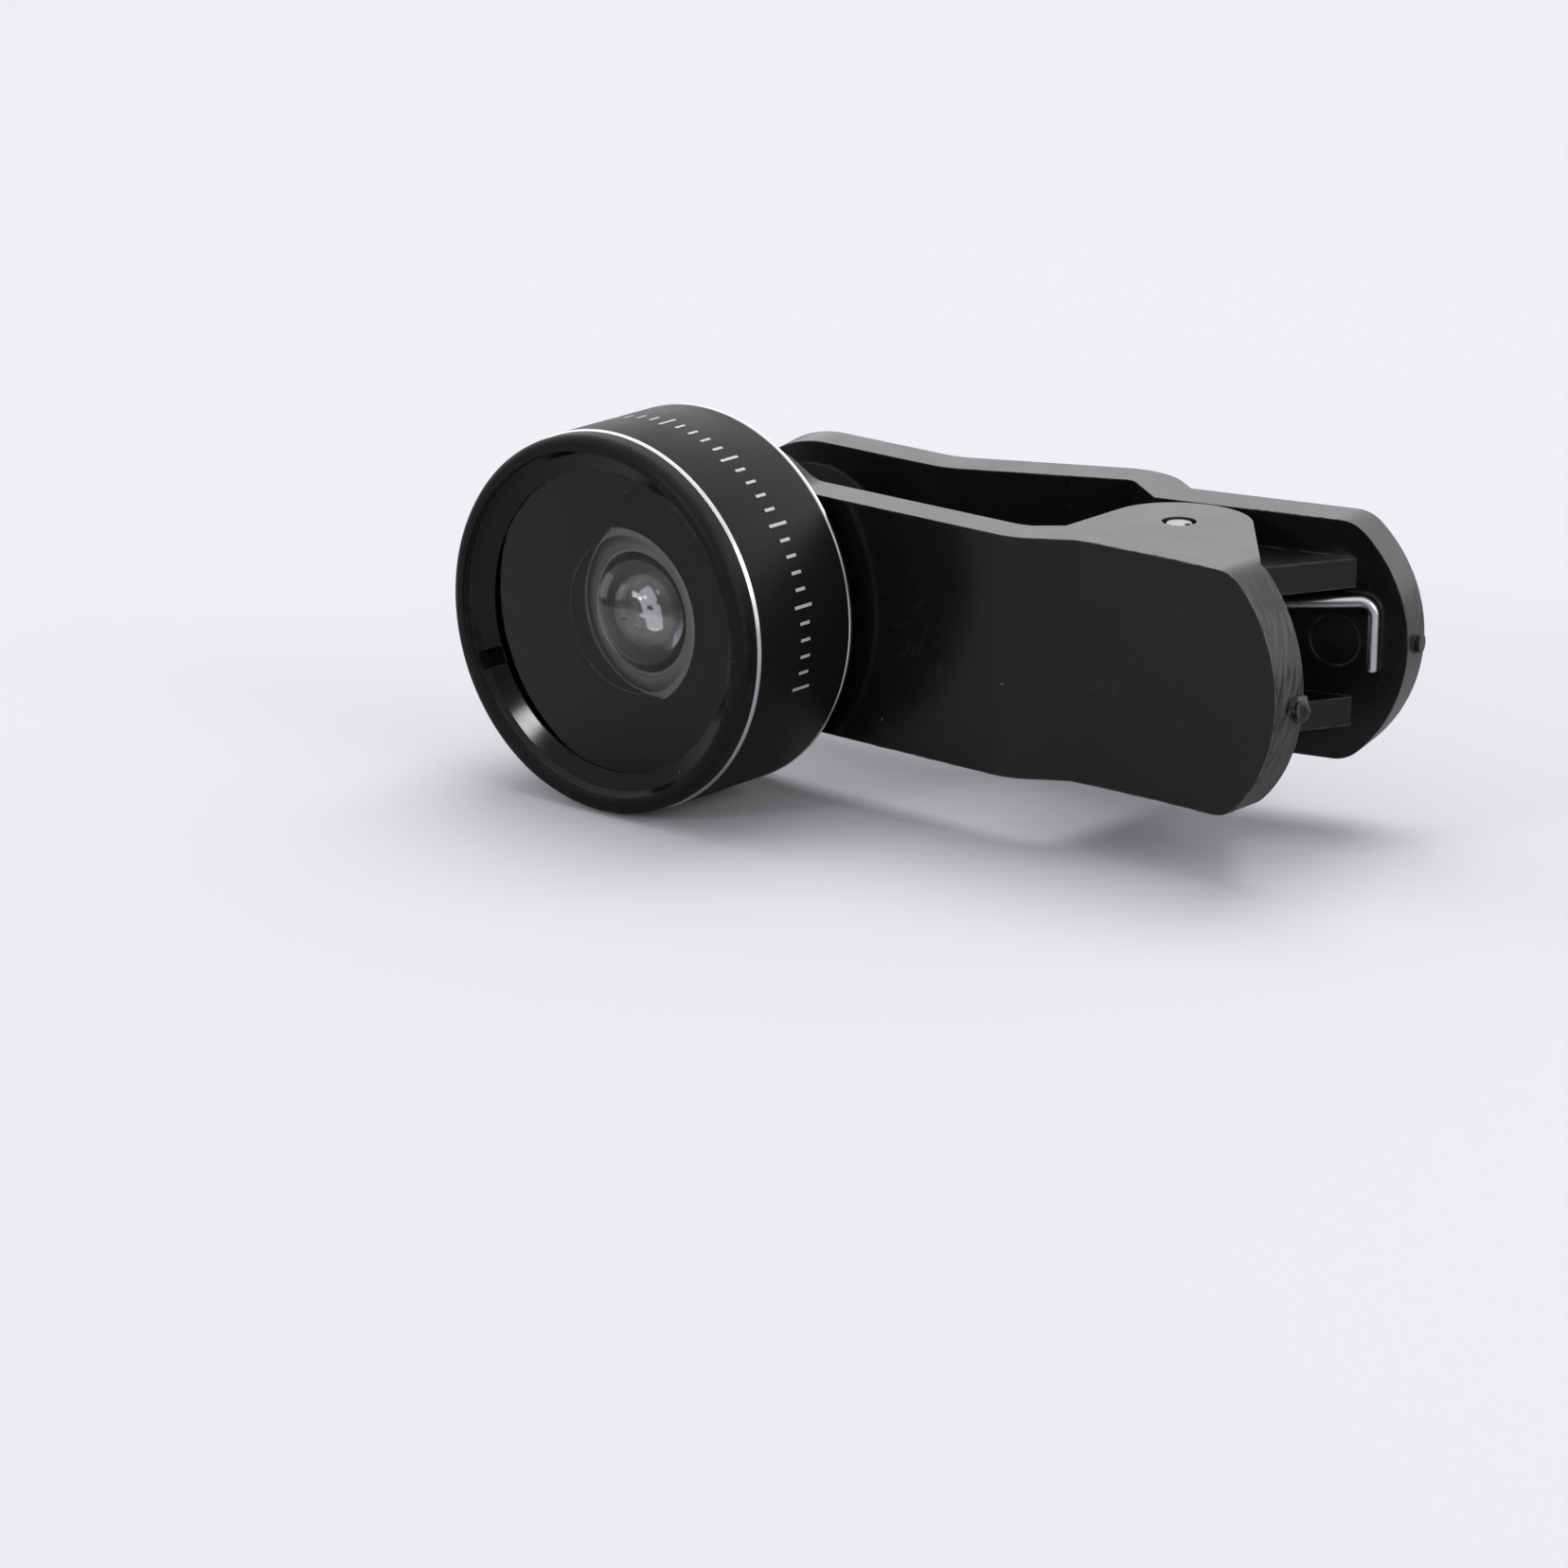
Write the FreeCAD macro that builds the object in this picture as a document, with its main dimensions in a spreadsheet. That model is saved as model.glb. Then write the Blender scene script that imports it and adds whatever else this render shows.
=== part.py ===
import FreeCAD, Part
import Sketcher
import math
import os
import re

# Clip on fisheye lens for a phone.
# Frame: the origin is where the optical axis crosses the plane of the phone's back.
# The viewer's side is -Y, the clip's arm runs along +X and the hinge pin stands along Z.
# The jaws are open by one phone's thickness.

doc = FreeCAD.newDocument("clip_on_lens")
sheet = doc.addObject("Spreadsheet::Sheet", "Sizes")

SIZES = [
    # the clip as a whole
    ("clip_half_width", 8.2, "half the width of both levers"),
    ("phone_thickness", 7.9, "gap between the two jaw pads"),
    ("pin_reach", 31.0, "optical axis to hinge pin, along X"),
    ("pin_depth", 7.4, "phone's back to hinge pin, along Y"),
    ("pad_proud", 0.25, "how far each pad stands out of its jaw"),
    ("running_gap", 0.05, "radial or axial gap of parts that turn"),
    ("trim_margin", 1.5, "blank material beyond a trimmed outline"),
    # the front lever
    ("arm_plate", 2.9, "thickness of both jaw plates"),
    ("ring_radius", 10.3, "outside of the ring that holds the lens"),
    ("neck_blend", 3.0, "blend between ring and arm"),
    ("bend_reach", 5.7, "pin back to the arm's front bend"),
    ("bend_round", 4.0, "round of that bend"),
    ("heel_reach", 6.8, "pin back to where the arm's back face ends"),
    ("heel_height", 5.9, "pin down to the foot of the ears' straight side"),
    ("crease_reach", 2.2, "pin back to the crease before the handle"),
    ("crease_drop", 8.32, "pin down to the crease"),
    ("crease_round", 1.0, "round of the crease"),
    ("tip_drop", 8.55, "pin down to the handle's tip"),
    ("dish_radius", 90.0, "finger dish of the front handle"),
    ("handle_plate", 3.3, "thickness of the rear handle and of the front one's root"),
    ("tip_plate", 3.0, "thickness of the front handle at its tip"),
    ("handle_reach", 14.1, "pin to the front handle's tip"),
    ("handle_end_radius", 10.3, "round end of both handles"),
    ("corner_round", 2.5, "corner beside that round end"),
    ("front_lobe", 4.85, "radius of the front ears about the pin"),
    ("front_foot", 10.0, "pin to the front ears' foot on the handle"),
    ("front_floor", 4.75, "pin down to the floor between the front ears"),
    ("front_ear_inner", 5.95, "mid-plane to the front ears' inner faces"),
    # the rear lever
    ("rear_tilt", 15.2, "angle of the rear handle to the X axis"),
    ("rear_reach", 14.4, "pin to the rear handle's tip"),
    ("rear_floor", 5.05, "pin out to the rear handle's inner face"),
    ("rear_crease", 2.4, "pin back to the rear crease"),
    ("hump_reach", 5.45, "pin back to the hump's outer corner"),
    ("hump_height", 12.14, "pin out to the hump's outer corner"),
    ("hump_round", 5.0, "round of the hump"),
    ("hump_inner_reach", 6.69, "pin back to the hump's inner corner"),
    ("hump_inner_height", 8.71, "pin out to the hump's inner corner"),
    ("jaw_slope", 27.0, "slope of the rear arm down to its jaw"),
    ("jaw_round", 5.0, "round where the rear arm meets its jaw"),
    ("rear_lobe", 4.45, "radius of the rear ears about the pin"),
    ("rear_foot", 10.6, "pin to the rear ears' foot on the handle"),
    ("rear_ear_outer", 5.75, "mid-plane to the rear ears' outer faces"),
    ("rear_ear_plate", 2.0, "thickness of each rear ear"),
    ("ejector_reach", 9.3, "pin to the ejector mark on the rear handle"),
    ("ejector_radius", 1.75, "radius of that mark"),
    ("ejector_depth", 0.08, "depth of that mark"),
    ("gate_radius", 0.6, "radius of the broken gate on each tip"),
    ("gate_height", 0.45, "height of the broken gate"),
    ("gate_offset", 0.5, "front gate off the middle of its plate's end"),
    ("edge_round", 0.3, "small round on the moulded edges"),
    # the hinge pin and the spring
    ("pin_radius", 1.0, "hinge pin"),
    ("pin_recess", 0.1, "pin's ends below the ears' faces"),
    ("pin_chamfer", 0.18, "chamfer on the pin's ends"),
    ("pin_notch", 0.5, "width of the notch across the pin's upper end"),
    ("recess_radius", 1.16, "mouth of the pin's hole"),
    ("recess_depth", 0.55, "depth of that mouth"),
    ("wire_radius", 0.4, "spring wire"),
    ("leg_gap", 0.02, "spring leg to the handle that it presses on"),
    ("coil_radius", 2.6, "spring coil, at the middle of the wire"),
    ("coil_half_height", 1.8, "mid-plane to the coil's last turn"),
    ("coil_turns", 4, "whole turns, to which the legs add about half a turn"),
    ("leg_reach", 12.1, "pin to the bent end of each leg"),
    ("leg_height", 3.08, "mid-plane to the bent end of each leg"),
    ("leg_bend", 0.9, "bend before the cross bar"),
    ("bar_reach", 1.8, "mid-plane to the cross bar's free end"),
    # the pads
    ("pad_thickness", 1.05, "both jaw pads"),
    ("front_pad_margin", 1.0, "ring pad in from the ring's outside"),
    ("front_pad_inner", 5.0, "window of the ring pad"),
    ("rear_pad_margin", 1.6, "round pad in from the rear jaw's sides"),
    ("pad_clearance", 0.05, "pad to its recess, sideways"),
    # the lens barrel
    ("barrel_rear", 4.36, "phone's back to the barrel's rear face"),
    ("rim_wall", 1.2, "wall of the barrel's rim outside its thread"),
    ("bright_ring", 0.28, "width of the bright cut ring behind the barrel's rim"),
    ("bezel_length", 1.52, "front bright ring to the rim's front"),
    ("bezel_inset", 0.12, "rim in from the barrel's side"),
    ("bezel_step", 0.06, "bright ring's bottom to the rim's side"),
    ("bezel_round", 0.75, "round of the rim"),
    ("rim_lip", 0.65, "rim beyond the retaining ring"),
    ("rear_wall", 2.2, "thickness of the barrel's rear wall"),
    ("seat_width", 2.4, "width of the shoulder that the front element rests on"),
    ("cell_gap", 0.89, "mount base to the lens cell"),
    # the threaded mount base
    ("spigot_radius", 7.45, "mount base's thread in the clip's ring"),
    ("spigot_end", 1.3, "phone's back to the end of that thread"),
    ("shank_step", 0.8, "barrel's bore for the cell to its bore for the mount base"),
    ("neck_step", 1.0, "collar between barrel and clip, out from the base's thread"),
    ("tube_gap", 0.15, "cell's tube to the bore of the mount base"),
    # the front glass and its ring
    ("glass_clearance", 0.05, "play of each glass in its seat, sideways"),
    ("dome_radius", 26.0, "front curve of the front element"),
    ("bowl_radius", 9.5, "rear curve of the front element"),
    ("bowl_margin", 3.9, "bore for the cell to the mouth of that rear curve"),
    ("glass_rise", 2.85, "front element's seat to its face at the ring's inner edge"),
    ("ring_width", 1.45, "width of the front retaining ring"),
    ("ring_rise", 1.02, "glass at the ring's inner edge to the ring's front"),
    ("ring_bevel", 0.35, "outer bevel of the retaining ring"),
    ("ring_lip", 0.1, "retaining ring's thickness at its inner edge"),
    ("slot_width", 1.3, "spanner slots of both retaining rings"),
    ("slot_depth", 0.5, "depth of the rear ring's slots"),
    ("slot_angle", 23.0, "turn of the front ring's slots from X"),
    # the lens cell and the glass in it
    ("spacer_wall", 1.1, "length of the front spacer"),
    ("baffle_thickness", 0.15, "thin black washers"),
    ("baffle_cover", 1.6, "front baffle in from the second element's side"),
    ("second_radius", 6.8, "outside of the second element"),
    ("second_edge", 1.3, "edge thickness of the second element"),
    ("second_land", 1.9, "flat rim around that element's front dome"),
    ("second_front_curve", 7.05, "front curve of the second element"),
    ("second_rear_curve", 6.5, "rear curve of the second element"),
    ("second_rear_land", 2.0, "flat rim around that element's rear bowl"),
    ("small_radius", 4.4, "outside of the third and fourth elements"),
    ("small_land", 0.5, "flat rim around their domes"),
    ("small_curve", 9.0, "curves of the third and fourth elements"),
    ("small_edge", 0.6, "edge thickness of the third element"),
    ("sleeve_length", 1.1, "sleeve between third and fourth elements"),
    ("stop_hole", 1.6, "hole of the aperture stop"),
    ("fourth_edge", 0.8, "edge thickness of the fourth element"),
    ("cell_rim", 2.6, "second element to the outside of the cell's wide thread"),
    ("cell_floor", 0.65, "cell's wide part behind its lip"),
    ("cell_lip", 0.35, "lip between the second and third elements"),
    ("cell_wall", 0.9, "wall of the cell's rear tube"),
    ("rear_ring_length", 0.9, "length of the rear retaining ring"),
    ("tube_end", 0.3, "cell's tube beyond that ring"),
]

for row, (alias, value, note) in enumerate(SIZES, 1):
    sheet.set("A%d" % row, note)
    sheet.set("B%d" % row, str(value))
    sheet.setAlias("B%d" % row, alias)
doc.recompute()

ALIASES = {alias for alias, value, note in SIZES}


def bind(formula):
    """Turn a formula of size names into an expression on the sheet."""
    def name(match):
        word = match.group(0)
        return "Sizes." + word if word in ALIASES else word
    return re.sub(r"[a-z_]+", name, formula)


def value(formula):
    """The number that a formula of size names gives."""
    return float(sheet.evalExpression(bind(formula)))


def plane(body, role):
    """One of the body's own origin planes, such as XY_Plane."""
    return next(item for item in body.Origin.OriginFeatures if item.Role == role)


def new_body(name):
    """An empty body whose label names the piece."""
    body = doc.addObject("PartDesign::Body", name)
    body.Label = name
    return body


def new_sketch(body, name, role="XY_Plane"):
    """A sketch on one of the body's own origin planes."""
    sketch = body.newObject("Sketcher::SketchObject", name)
    sketch.AttachmentSupport = [(plane(body, role), "")]
    sketch.MapMode = "FlatFace"
    return sketch


def bound(sketch, kind, *where_and_formula):
    """Add one dimension to a sketch and bind it to the sheet."""
    *where, formula = where_and_formula
    index = sketch.addConstraint(Sketcher.Constraint(kind, *where, value(formula)))
    sketch.setExpression("Constraints[%d]" % index, bind(formula))


def pin_point(sketch, geometry, end, x, y):
    """Place one end of a line or arc by two dimensions from the origin."""
    bound(sketch, "DistanceX", -1, 1, geometry, end, x)
    bound(sketch, "DistanceY", -1, 1, geometry, end, y)


def arc_between(start, finish, radius, side):
    """The short arc from start to finish; side 1 has its centre on the left, -1 on the right."""
    chord = finish - start
    left = FreeCAD.Vector(-chord.y, chord.x, 0).normalize()
    rise = math.sqrt(max(radius ** 2 - chord.Length ** 2 / 4, 0))
    centre = (start + finish) * 0.5 + left * rise * side
    first, last = (start, finish) if side > 0 else (finish, start)
    angle_first = math.atan2(first.y - centre.y, first.x - centre.x)
    angle_last = math.atan2(last.y - centre.y, last.x - centre.x)
    circle = Part.Circle(centre, FreeCAD.Vector(0, 0, 1), radius)
    return Part.ArcOfCircle(circle, angle_first, angle_last)


def draw_loop(sketch, corners):
    """Draw a closed outline. A corner is (x, y), or (x, y, radius, side) where an arc leaves it."""
    spots = [FreeCAD.Vector(value(corner[0]), value(corner[1]), 0) for corner in corners]
    ends = []
    for index, corner in enumerate(corners):
        start = spots[index]
        finish = spots[(index + 1) % len(spots)]
        if len(corner) == 2:
            edge = sketch.addGeometry(Part.LineSegment(start, finish), False)
            ends.append((edge, 1, 2))
        else:
            side = corner[3]
            edge = sketch.addGeometry(arc_between(start, finish, value(corner[2]), side), False)
            bound(sketch, "Radius", edge, corner[2])
            ends.append((edge, 1, 2) if side > 0 else (edge, 2, 1))
    for index, corner in enumerate(corners):
        edge, first, last = ends[index]
        before, before_first, before_last = ends[index - 1]
        sketch.addConstraint(Sketcher.Constraint("Coincident", before, before_last, edge, first))
        pin_point(sketch, edge, first, corner[0], corner[1])


def draw_circle(sketch, x, y, radius):
    """Draw one circle."""
    centre = FreeCAD.Vector(value(x), value(y), 0)
    edge = sketch.addGeometry(Part.Circle(centre, FreeCAD.Vector(0, 0, 1), value(radius)), False)
    pin_point(sketch, edge, 3, x, y)
    bound(sketch, "Radius", edge, radius)


def symmetric(body, kind, sketch, width):
    """A Pad or Pocket that reaches the same way to both sides of its sketch."""
    feature = body.newObject("PartDesign::" + kind, sketch.Name + "_" + kind.lower())
    feature.Profile = sketch
    feature.SideType = "Symmetric"
    feature.setExpression("Length", bind(width))
    doc.recompute()
    return feature


def turned(body, kind, sketch, axis="V_Axis"):
    """A Revolution or Groove of a full turn about one of the sketch's axes."""
    feature = body.newObject("PartDesign::" + kind, sketch.Name + "_" + kind.lower())
    feature.Profile = sketch
    feature.ReferenceAxis = (sketch, [axis])
    feature.Angle = 360.0
    doc.recompute()
    return feature


def lens_piece(name, corners):
    """A piece turned about the optical axis. A corner is (radius, depth in front of the phone)."""
    body = new_body(name)
    sketch = new_sketch(body, name + "_section")
    flipped = []
    for corner in corners:
        flipped.append((corner[0], "-(%s)" % corner[1]) + tuple(corner[2:]))
    draw_loop(sketch, flipped)
    turned(body, "Revolution", sketch)
    return body


def cut_volume(body, before, what):
    """Stop if the last cut took nothing away."""
    after = body.Shape.Volume
    if after >= before - 1e-6:
        raise RuntimeError("%s of %s removed nothing" % (what, body.Label))
    return after


def edges_near(shape, places, direction, reach=0.05):
    """Names of straight edges along a direction that pass through the given places."""
    names = []
    for number, edge in enumerate(shape.Edges, 1):
        if edge.Curve.TypeId != "Part::GeomLine":
            continue
        along = edge.tangentAt(edge.FirstParameter)
        if abs(abs(along.dot(direction)) - 1) > 1e-6:
            continue
        middle = edge.valueAt((edge.FirstParameter + edge.LastParameter) / 2)
        for place in places:
            away = middle - place
            if (away - direction * away.dot(direction)).Length < reach:
                names.append("Edge%d" % number)
    return names


def rounded(body, label, places, direction, radius):
    """Fillet the straight edges that pass through the given places."""
    base = body.Tip
    names = edges_near(base.Shape, places, direction)
    if len(names) < len(places):
        raise RuntimeError("%s: %d of %d edges found" % (label, len(names), len(places)))
    fillet = body.newObject("PartDesign::Fillet", label)
    fillet.Base = (base, names)
    fillet.setExpression("Radius", bind(radius))
    doc.recompute()
    return fillet


def tangent_spot(lobe, reach, height, side):
    """Where the line from (reach, height) touches the circle of radius lobe about the pin."""
    angle = "(atan2(%s; %s) + %d * acos(%s / hypot(%s; %s)))" % (height, reach, side, lobe, reach, height)
    return "%s * cos(%s)" % (lobe, angle), "%s * sin(%s)" % (lobe, angle)


ALONG_X = FreeCAD.Vector(1, 0, 0)
ALONG_Y = FreeCAD.Vector(0, 1, 0)
ALONG_Z = FreeCAD.Vector(0, 0, 1)


def spot(x, y, z="0"):
    """A point given by three formulas."""
    return FreeCAD.Vector(value(x), value(y), value(z))


# The front lever is one moulding: ring, arm, ramp, handle and two ears.
# Its plate is drawn from the side and trimmed from the front.

FRONT_PAD = "(ring_radius - front_pad_margin)"
REAR_PAD = "(clip_half_width - rear_pad_margin)"
FRONT_FACE = "-(pad_proud + arm_plate)"
BACK_FACE = "-pad_proud"
BEND_X = "pin_reach - bend_reach"
CREASE_X = "pin_reach - crease_reach"
CREASE_Y = "pin_depth - crease_drop"
TIP_X = "pin_reach + handle_reach"
TIP_Y = "pin_depth - tip_drop"
FOOT_X = "pin_reach + front_foot"
FLOOR_Y = "pin_depth - front_floor"
HEEL_X = "pin_reach - heel_reach"
RAMP_RISE = "(%s - (%s))" % (FLOOR_Y, BACK_FACE)
RAMP_TOP_X = "%s + %s * (bend_reach - crease_reach) / (crease_drop * -1 + pin_depth + pad_proud + arm_plate)" % (
    HEEL_X, RAMP_RISE)
BLANK_LEFT = "-(ring_radius + trim_margin)"
BLANK_RIGHT = TIP_X + " + trim_margin"

front_lever = new_body("front_lever")

plate = new_sketch(front_lever, "front_plate")
draw_loop(plate, [
    (BLANK_LEFT, FRONT_FACE),
    (BEND_X, FRONT_FACE),
    (CREASE_X, CREASE_Y, "dish_radius", -1),
    (BLANK_RIGHT, TIP_Y),
    (BLANK_RIGHT, TIP_Y + " + tip_plate"),
    (FOOT_X, FLOOR_Y),
    (RAMP_TOP_X, FLOOR_Y),
    (HEEL_X, BACK_FACE),
    (BLANK_LEFT, BACK_FACE),
])
symmetric(front_lever, "Pad", plate, "2 * (ring_radius + trim_margin)")
rounded(front_lever, "front_bend", [spot(BEND_X, FRONT_FACE)], ALONG_Z, "bend_round")
rounded(front_lever, "front_crease", [spot(CREASE_X, CREASE_Y)], ALONG_Z, "crease_round")
rounded(front_lever, "front_heel", [spot(HEEL_X, BACK_FACE)], ALONG_Z, "bend_round")

lobe_x, lobe_y = tangent_spot("front_lobe", "front_foot", "-front_floor", 1)
ears = new_sketch(front_lever, "front_ears")
draw_loop(ears, [
    (FOOT_X, FLOOR_Y),
    ("pin_reach + " + lobe_x, "pin_depth + " + lobe_y, "front_lobe", 1),
    ("pin_reach - front_lobe", "pin_depth"),
    ("pin_reach - front_lobe", "pin_depth - heel_height"),
    (HEEL_X, BACK_FACE),
    (CREASE_X, CREASE_Y + " + handle_plate / 2"),
    (FOOT_X, FLOOR_Y + " - handle_plate / 2"),
])
symmetric(front_lever, "Pad", ears, "2 * clip_half_width")

NECK_X = "sqrt(ring_radius ^ 2 - clip_half_width ^ 2)"
END_X = TIP_X + " - handle_end_radius + sqrt(handle_end_radius ^ 2 - clip_half_width ^ 2)"
BLANK_SIDE = "(ring_radius + 2 * trim_margin)"
front_plan = new_sketch(front_lever, "front_plan", "XZ_Plane")
draw_loop(front_plan, [
    (BLANK_LEFT + " - trim_margin", "-" + BLANK_SIDE),
    (BLANK_RIGHT + " + trim_margin", "-" + BLANK_SIDE),
    (BLANK_RIGHT + " + trim_margin", BLANK_SIDE),
    (BLANK_LEFT + " - trim_margin", BLANK_SIDE),
])
draw_loop(front_plan, [
    (NECK_X, "clip_half_width", "ring_radius", 1),
    ("-ring_radius", "0", "ring_radius", 1),
    (NECK_X, "-clip_half_width"),
    (END_X, "-clip_half_width", "handle_end_radius", 1),
    (TIP_X, "0", "handle_end_radius", 1),
    (END_X, "clip_half_width"),
])
before = front_lever.Shape.Volume
symmetric(front_lever, "Pocket", front_plan, "4 * (pin_depth + front_lobe)")
cut_volume(front_lever, before, "plan")
rounded(front_lever, "front_corners", [
    spot(END_X, "0", "clip_half_width"),
    spot(END_X, "0", "-clip_half_width"),
], ALONG_Y, "corner_round")
rounded(front_lever, "front_neck", [
    spot(NECK_X, "0", "clip_half_width"),
    spot(NECK_X, "0", "-clip_half_width"),
], ALONG_Y, "neck_blend")

channel = new_sketch(front_lever, "front_channel")
draw_loop(channel, [
    (HEEL_X, BACK_FACE),
    (RAMP_TOP_X, FLOOR_Y),
    (FOOT_X, FLOOR_Y),
    (FOOT_X + " + trim_margin", "pin_depth + 2 * front_lobe"),
    (HEEL_X, "pin_depth + 2 * front_lobe"),
])
before = front_lever.Shape.Volume
symmetric(front_lever, "Pocket", channel, "2 * front_ear_inner")
cut_volume(front_lever, before, "channel")

eye = new_sketch(front_lever, "front_eye")
draw_loop(eye, [
    ("0", FRONT_FACE + " - trim_margin"),
    ("spigot_radius + running_gap", FRONT_FACE + " - trim_margin"),
    ("spigot_radius + running_gap", "-pad_thickness"),
    (FRONT_PAD + " + pad_clearance", "-pad_thickness"),
    (FRONT_PAD + " + pad_clearance", "trim_margin"),
    ("0", "trim_margin"),
])
before = front_lever.Shape.Volume
turned(front_lever, "Groove", eye)
cut_volume(front_lever, before, "eye")


def pin_holes(body, x, y, radius, name):
    """Drill the hinge pin's hole through both ears."""
    hole = new_sketch(body, name)
    draw_circle(hole, x, y, radius)
    before_hole = body.Shape.Volume
    symmetric(body, "Pocket", hole, "4 * clip_half_width")
    cut_volume(body, before_hole, name)


pin_holes(front_lever, "pin_reach", "pin_depth", "pin_radius", "front_pin_hole")
for side, sign in (("upper", 1), ("lower", -1)):
    mouth = new_sketch(front_lever, side + "_mouth")
    draw_circle(mouth, "pin_reach", "pin_depth", "recess_radius")
    mouth.setExpression("AttachmentOffset.Base.z", bind("%d * clip_half_width" % sign))
    before = front_lever.Shape.Volume
    symmetric(front_lever, "Pocket", mouth, "2 * recess_depth")
    cut_volume(front_lever, before, side + " mouth")


def gate(body, x, y, z, name):
    """Leave the broken-off moulding gate on a handle's tip."""
    stub = new_sketch(body, name, "YZ_Plane")
    draw_circle(stub, y, z, "gate_radius")
    stub.setExpression("AttachmentOffset.Base.z", bind(x))
    symmetric(body, "Pad", stub, "2 * gate_height")


gate(front_lever, TIP_X, TIP_Y + " + tip_plate / 2 + 2 * gate_offset", "-gate_offset", "front_gate")


# The rear lever is drawn in its own frame: the pin at the origin and the handle along X.
# Its jaw is drawn so that it stands parallel to the phone once the lever is turned into place.

def rear_spot(x, y):
    """Formulas in the rear lever's frame for a point given in the clip's frame."""
    across = "(%s - pin_reach)" % x
    out = "(%s - pin_depth)" % y
    return (across + " * cos(rear_tilt) + " + out + " * sin(rear_tilt)",
            out + " * cos(rear_tilt) - " + across + " * sin(rear_tilt)")


def clip_spot(reach, height):
    """Formulas in the clip's frame for a point given in the rear lever's frame."""
    return ("(pin_reach + (%s) * cos(rear_tilt) - (%s) * sin(rear_tilt))" % (reach, height),
            "(pin_depth + (%s) * sin(rear_tilt) + (%s) * cos(rear_tilt))" % (reach, height))


REAR_TOP = "rear_floor + handle_plate"
JAW_INNER_Y = "(phone_thickness + pad_proud)"
JAW_OUTER_Y = "(phone_thickness + pad_proud + arm_plate)"
REAR_BLANK_LEFT = "-(clip_half_width + trim_margin)"
hump_x, hump_y = clip_spot("-hump_reach", "hump_height")
hump_inner_x, hump_inner_y = clip_spot("-hump_inner_reach", "hump_inner_height")
jaw_knee_x = "%s - (%s - %s) / tan(jaw_slope)" % (hump_x, hump_y, JAW_OUTER_Y)
jaw_inner_knee_x = "%s - (%s - %s) / tan(jaw_slope)" % (hump_inner_x, hump_inner_y, JAW_INNER_Y)
REAR_RAMP = "(hump_height - (%s)) / (hump_reach - rear_crease)" % REAR_TOP
REAR_RAMP_X = "-hump_inner_reach + (hump_inner_height - rear_floor) / (%s)" % REAR_RAMP
REAR_EAR_TOP = "hump_inner_height - (hump_inner_reach - rear_lobe) * (%s)" % REAR_RAMP

rear_lever = new_body("rear_lever")
rear_lever.Placement = FreeCAD.Placement(
    spot("pin_reach", "pin_depth"), FreeCAD.Rotation(ALONG_Z, value("rear_tilt")))
rear_lever.setExpression("Placement.Base.x", bind("pin_reach"))
rear_lever.setExpression("Placement.Base.y", bind("pin_depth"))
rear_lever.setExpression("Placement.Rotation.Angle", bind("rear_tilt"))

rear_plate = new_sketch(rear_lever, "rear_plate")
draw_loop(rear_plate, [
    (REAR_RAMP_X, "rear_floor"),
    ("rear_reach + trim_margin", "rear_floor"),
    ("rear_reach + trim_margin", REAR_TOP),
    ("-rear_crease", REAR_TOP),
    ("-hump_reach", "hump_height"),
    rear_spot(jaw_knee_x, JAW_OUTER_Y),
    rear_spot(REAR_BLANK_LEFT, JAW_OUTER_Y),
    rear_spot(REAR_BLANK_LEFT, JAW_INNER_Y),
    rear_spot(jaw_inner_knee_x, JAW_INNER_Y),
    ("-hump_inner_reach", "hump_inner_height"),
])
symmetric(rear_lever, "Pad", rear_plate, "2 * (clip_half_width + trim_margin)")
rounded(rear_lever, "rear_hump", [spot("-hump_reach", "hump_height")], ALONG_Z, "hump_round")
rounded(rear_lever, "rear_crease", [spot("-rear_crease", REAR_TOP)], ALONG_Z, "edge_round")
rounded(rear_lever, "rear_hump_inner", [spot("-hump_inner_reach", "hump_inner_height")],
        ALONG_Z, "crease_round")
rounded(rear_lever, "rear_knees", [
    spot(*rear_spot(jaw_knee_x, JAW_OUTER_Y)),
    spot(*rear_spot(jaw_inner_knee_x, JAW_INNER_Y)),
], ALONG_Z, "jaw_round")

lobe_x, lobe_y = tangent_spot("rear_lobe", "rear_foot", "rear_floor", -1)
rear_ears = new_sketch(rear_lever, "rear_ears")
draw_loop(rear_ears, [
    ("rear_foot", "rear_floor"),
    ("rear_foot", "rear_floor + handle_plate / 2"),
    (REAR_RAMP_X, "rear_floor + handle_plate / 2"),
    ("-rear_lobe", REAR_EAR_TOP),
    ("-rear_lobe", "0", "rear_lobe", 1),
    (lobe_x, lobe_y),
])
symmetric(rear_lever, "Pad", rear_ears, "2 * rear_ear_outer")

JAW_CENTRE = rear_spot("0", "(phone_thickness + arm_plate / 2)")[0]
REAR_END_X = "rear_reach - handle_end_radius + sqrt(handle_end_radius ^ 2 - clip_half_width ^ 2)"
REAR_SIDE = "(clip_half_width + 2 * trim_margin)"
rear_plan = new_sketch(rear_lever, "rear_plan", "XZ_Plane")
draw_loop(rear_plan, [
    ("-(pin_reach + clip_half_width + 6 * trim_margin)", "-" + REAR_SIDE),
    ("rear_reach + 2 * trim_margin", "-" + REAR_SIDE),
    ("rear_reach + 2 * trim_margin", REAR_SIDE),
    ("-(pin_reach + clip_half_width + 6 * trim_margin)", REAR_SIDE),
])
draw_loop(rear_plan, [
    (JAW_CENTRE, "clip_half_width", "clip_half_width", 1),
    (JAW_CENTRE + " - clip_half_width", "0", "clip_half_width", 1),
    (JAW_CENTRE, "-clip_half_width"),
    (REAR_END_X, "-clip_half_width", "handle_end_radius", 1),
    ("rear_reach", "0", "handle_end_radius", 1),
    (REAR_END_X, "clip_half_width"),
])
before = rear_lever.Shape.Volume
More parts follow.
